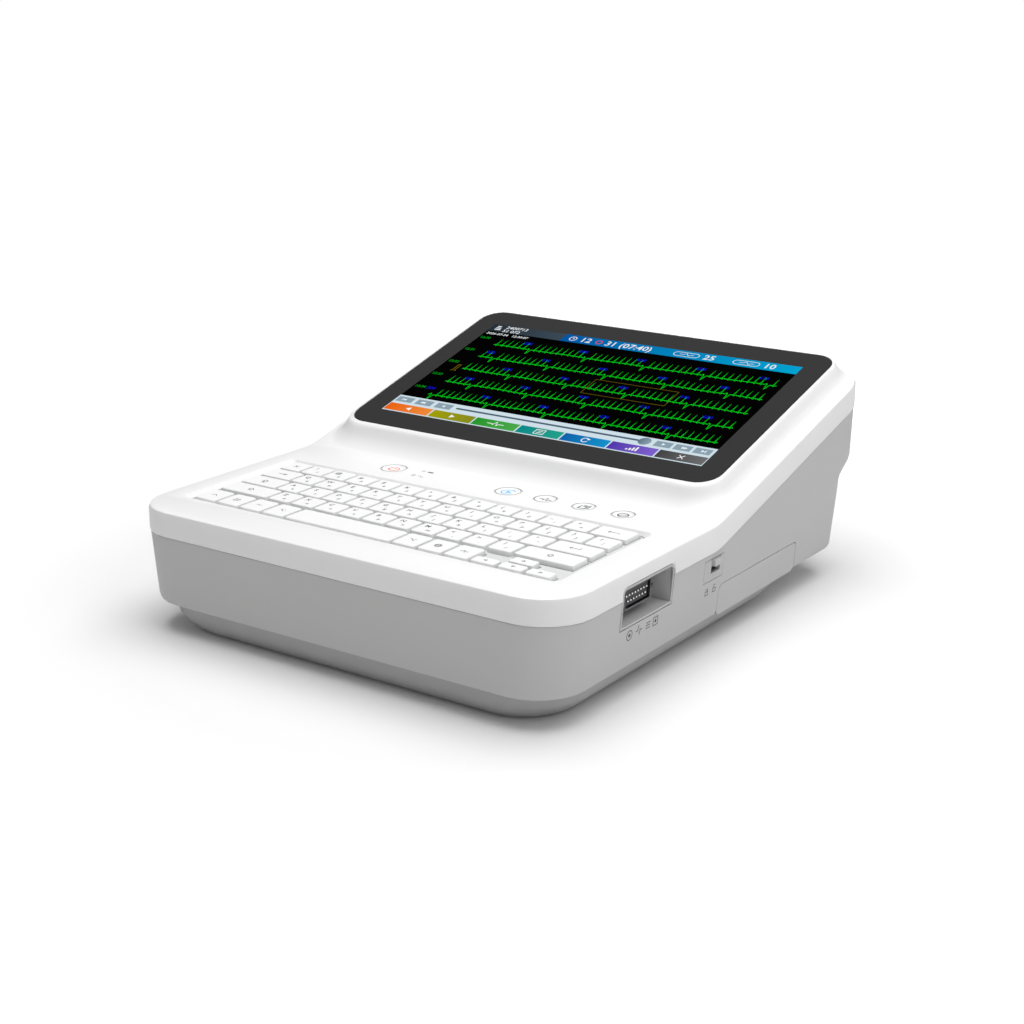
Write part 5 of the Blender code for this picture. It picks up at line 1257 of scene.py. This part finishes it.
@dataclass
class RearConnectors:
    """Mains inlet, data ports and earth stud in the lower rear wall."""

    blade: tuple[float, float, float] = (0.0022, 0.0098, 0.0042)
    blade_spacing: float = 0.0070
    blade_lifts: tuple[float, ...] = (-0.001, 0.0016, -0.001)
    blade_root: float = 0.0126
    tongue: tuple[float, float, float] = (0.0100, 0.0080, 0.0016)
    tongue_root: float = 0.0098
    tongue_lift: float = 0.0006
    port_pitch: float = 0.020
    wall_foot: float = 0.142023
    wall_draft: float = math.radians(0.5)

    def build(self) -> None:
        """Finishes the connectors and adds their contacts and marks."""
        SmoothFaces.dress(NYLON_BLACK, "mains_inlet", "port_block")
        SmoothFaces.dress(BRASS, "earth_stud")
        low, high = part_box("mains_inlet")
        centre, root = (low + high) / 2, high.y - self.blade_root
        places = [
            Vector((centre.x + (number - 1) * self.blade_spacing, root, centre.z + lift))
            for number, lift in enumerate(self.blade_lifts)
        ]
        add_solids("mains_blades", [self.tapered_bar(place, self.blade) for place in places], NICKEL)
        low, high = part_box("port_block")
        centre, root = (low + high) / 2, high.y - self.tongue_root
        xs = (centre.x - self.port_pitch, centre.x)
        places = [Vector((x, root, centre.z + self.tongue_lift)) for x in xs]
        add_solids("port_tongues", [self.tapered_bar(place, self.tongue) for place in places], NYLON_GREY)
        self.marks()

    def marks(self) -> None:
        """Prints plain numbers over the ports, a wave over the inlet and an earth sign over the stud."""
        up = Vector((0, math.sin(self.wall_draft), math.cos(self.wall_draft)))
        art = Artwork(Face(BACK * self.wall_foot, -RIGHT, up), INK_SIDE)
        low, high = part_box("port_block")
        for number in (-1, 0, 1):
            u = -((low.x + high.x) / 2 + number * self.port_pitch)
            art.text(str(number + 2), u, high.z + 0.0022, 0.0036)
        low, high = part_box("mains_inlet")
        wave = [(-3.0 + 6.0 * i / 16, 3.6 + 1.2 * math.sin(math.tau * i / 16)) for i in range(17)]
        art.line(in_mm(wave, -(low.x + high.x) / 2, high.z), 0.0005)
        low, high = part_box("earth_stud")
        u = -(low.x + high.x) / 2
        art.line(in_mm(((0.0, 7.0), (0.0, 4.8)), u, high.z), 0.0005)
        for half, drop in ((2.4, 4.8), (1.6, 3.8), (0.8, 2.8)):
            art.line(in_mm(((-half, drop), (half, drop)), u, high.z), 0.00045)
        art.emit("rear_marks", Slot.CASE)

    def tapered_bar(self, base: Vector, size: tuple[float, float, float]) -> Solid:
        """A bar along Y whose free end is eased.

        Args:
            base: Middle of its root.
            size: Its size in X, Y and Z.

        Returns:
            Its points and faces.
        """
        wide, long, tall = size
        corners: list[Vector] = []
        for along, share in ((0.0, 1.0), (long - 0.0006, 1.0), (long, 0.6)):
            for x, z in ((-1, -1), (1, -1), (1, 1), (-1, 1)):
                corners.append(base + Vector((x * wide / 2 * share, along, z * tall / 2 * share)))
        sides: Sides = [(0, 1, 2, 3), (11, 10, 9, 8)]
        for level in (0, 4):
            sides += [(level + i, level + i + 4, level + (i + 1) % 4 + 4, level + (i + 1) % 4) for i in range(4)]
        return corners, sides


@dataclass
class Studio:
    """A pale floor, soft lamps and the camera."""

    floor_size: float = 12.0
    floor_colour: str = "#E6E6E6"
    glow: tuple[float, float] = (0.03, 0.90)
    glow_reach: tuple[float, float] = (0.24, 0.95)
    aim: tuple[float, float, float] = (0.0, 0.0, 0.05)
    camera_place: tuple[float, float, float] = (0.57153, -0.82160, 0.36131)
    camera_turn: tuple[float, float, float] = (math.radians(90 - 17.388), 0.0, math.radians(34.961))
    lens: float = 63.84
    ambient: float = 0.217

    def build(self) -> None:
        """Makes the floor, the lamps, the world and the camera."""
        self.floor()
        self.lamp("key_lamp", (0.15, 0.10, 1.9), 2.0, 45.0)
        self.lamp("side_lamp", (1.55, -0.35, 1.35), 1.4, 6.4)
        self.world()
        self.camera()
        bpy.context.scene.view_settings.view_transform = "Standard"

    def floor(self) -> None:
        """Makes a pale matt floor that keeps the shadow near the machine and runs out to white away from it."""
        half = self.floor_size / 2
        mesh = bpy.data.meshes.new("studio_floor")
        mesh.from_pydata([(u, v, 0) for u, v in rectangle(-half, half, -half, half)], [], [(0, 1, 2, 3)])
        made = bpy.data.objects.new("studio_floor", mesh)
        bpy.context.scene.collection.objects.link(made)
        finish = bpy.data.materials.new("paper_backdrop_matt")
        finish.use_nodes = True
        tree = finish.node_tree
        tree.nodes.clear()
        matt = add_node(tree, "ShaderNodeBsdfDiffuse", inputs={"Color": linear(self.floor_colour)})
        place = add_node(tree, "ShaderNodeTexCoord").outputs["Object"]
        reach = add_node(tree, "ShaderNodeVectorMath", {"operation": "LENGTH"}, {0: place}).outputs["Value"]
        near, far = self.glow_reach
        fade = {"Value": reach, "From Min": near, "From Max": far, "To Min": self.glow[0], "To Max": self.glow[1]}
        amount = add_node(tree, "ShaderNodeMapRange", inputs=fade).outputs[0]
        glow = add_node(tree, "ShaderNodeEmission", inputs={"Color": WHITE, "Strength": amount})
        seen = add_node(tree, "ShaderNodeLightPath").outputs["Is Camera Ray"]
        none = add_node(tree, "ShaderNodeEmission", inputs={"Strength": 0.0})
        choice = add_node(tree, "ShaderNodeMixShader", inputs={0: seen, 1: none.outputs[0], 2: glow.outputs[0]})
        both = add_node(tree, "ShaderNodeAddShader", inputs={0: matt.outputs[0], 1: choice.outputs[0]})
        add_node(tree, "ShaderNodeOutputMaterial", inputs={"Surface": both.outputs[0]})
        mesh.materials.append(finish)

    def lamp(self, name: str, place: tuple[float, float, float], size: float, power: float) -> None:
        """Hangs a square soft lamp that points at the machine.

        Args:
            name: Its name.
            place: Where it hangs.
            size: Its side.
            power: Its power in watts.
        """
        data = bpy.data.lights.new(name, "AREA")
        data.size = size
        data.energy = power
        made = bpy.data.objects.new(name, data)
        made.location = place
        made.rotation_euler = (Vector(self.aim) - Vector(place)).to_track_quat("-Z", "Y").to_euler()
        bpy.context.scene.collection.objects.link(made)

    def world(self) -> None:
        """Makes an even pale sky that the camera sees as white."""
        world = bpy.data.worlds.new("studio_sky")
        world.use_nodes = True
        tree = world.node_tree
        tree.nodes.clear()
        seen = add_node(tree, "ShaderNodeLightPath").outputs["Is Camera Ray"]
        strength = add_node(tree, "ShaderNodeMapRange", inputs={"Value": seen, "To Min": self.ambient, "To Max": 1.0})
        sky = add_node(tree, "ShaderNodeBackground", inputs={"Color": WHITE, "Strength": strength.outputs[0]})
        add_node(tree, "ShaderNodeOutputWorld", inputs={"Surface": sky.outputs[0]})
        bpy.context.scene.world = world

    def camera(self) -> None:
        """Sets the camera at the photograph's angle."""
        data = bpy.data.cameras.new("camera")
        data.lens = self.lens
        data.sensor_width = 36.0
        made = bpy.data.objects.new("camera", data)
        made.location = self.camera_place
        made.rotation_euler = self.camera_turn
        bpy.context.scene.collection.objects.link(made)
        bpy.context.scene.camera = made


def main() -> None:
    """Builds every sub-assembly, then the studio."""
    logging.basicConfig(level=logging.INFO, format="%(name)s: %(message)s")
    housing = Housing()
    parts = [
        housing,
        ScreenPicture(housing),
        Keyboard(housing),
        DeckControls(housing),
        PatientSocket(housing),
        LatchAndDrawer(housing),
        PrinterAndBoards(),
        RearConnectors(),
    ]
    for part in parts:
        part.build()
        LOG.info("%s built", type(part).__name__)
    Studio().build()


if __name__ == "__main__":
    main()
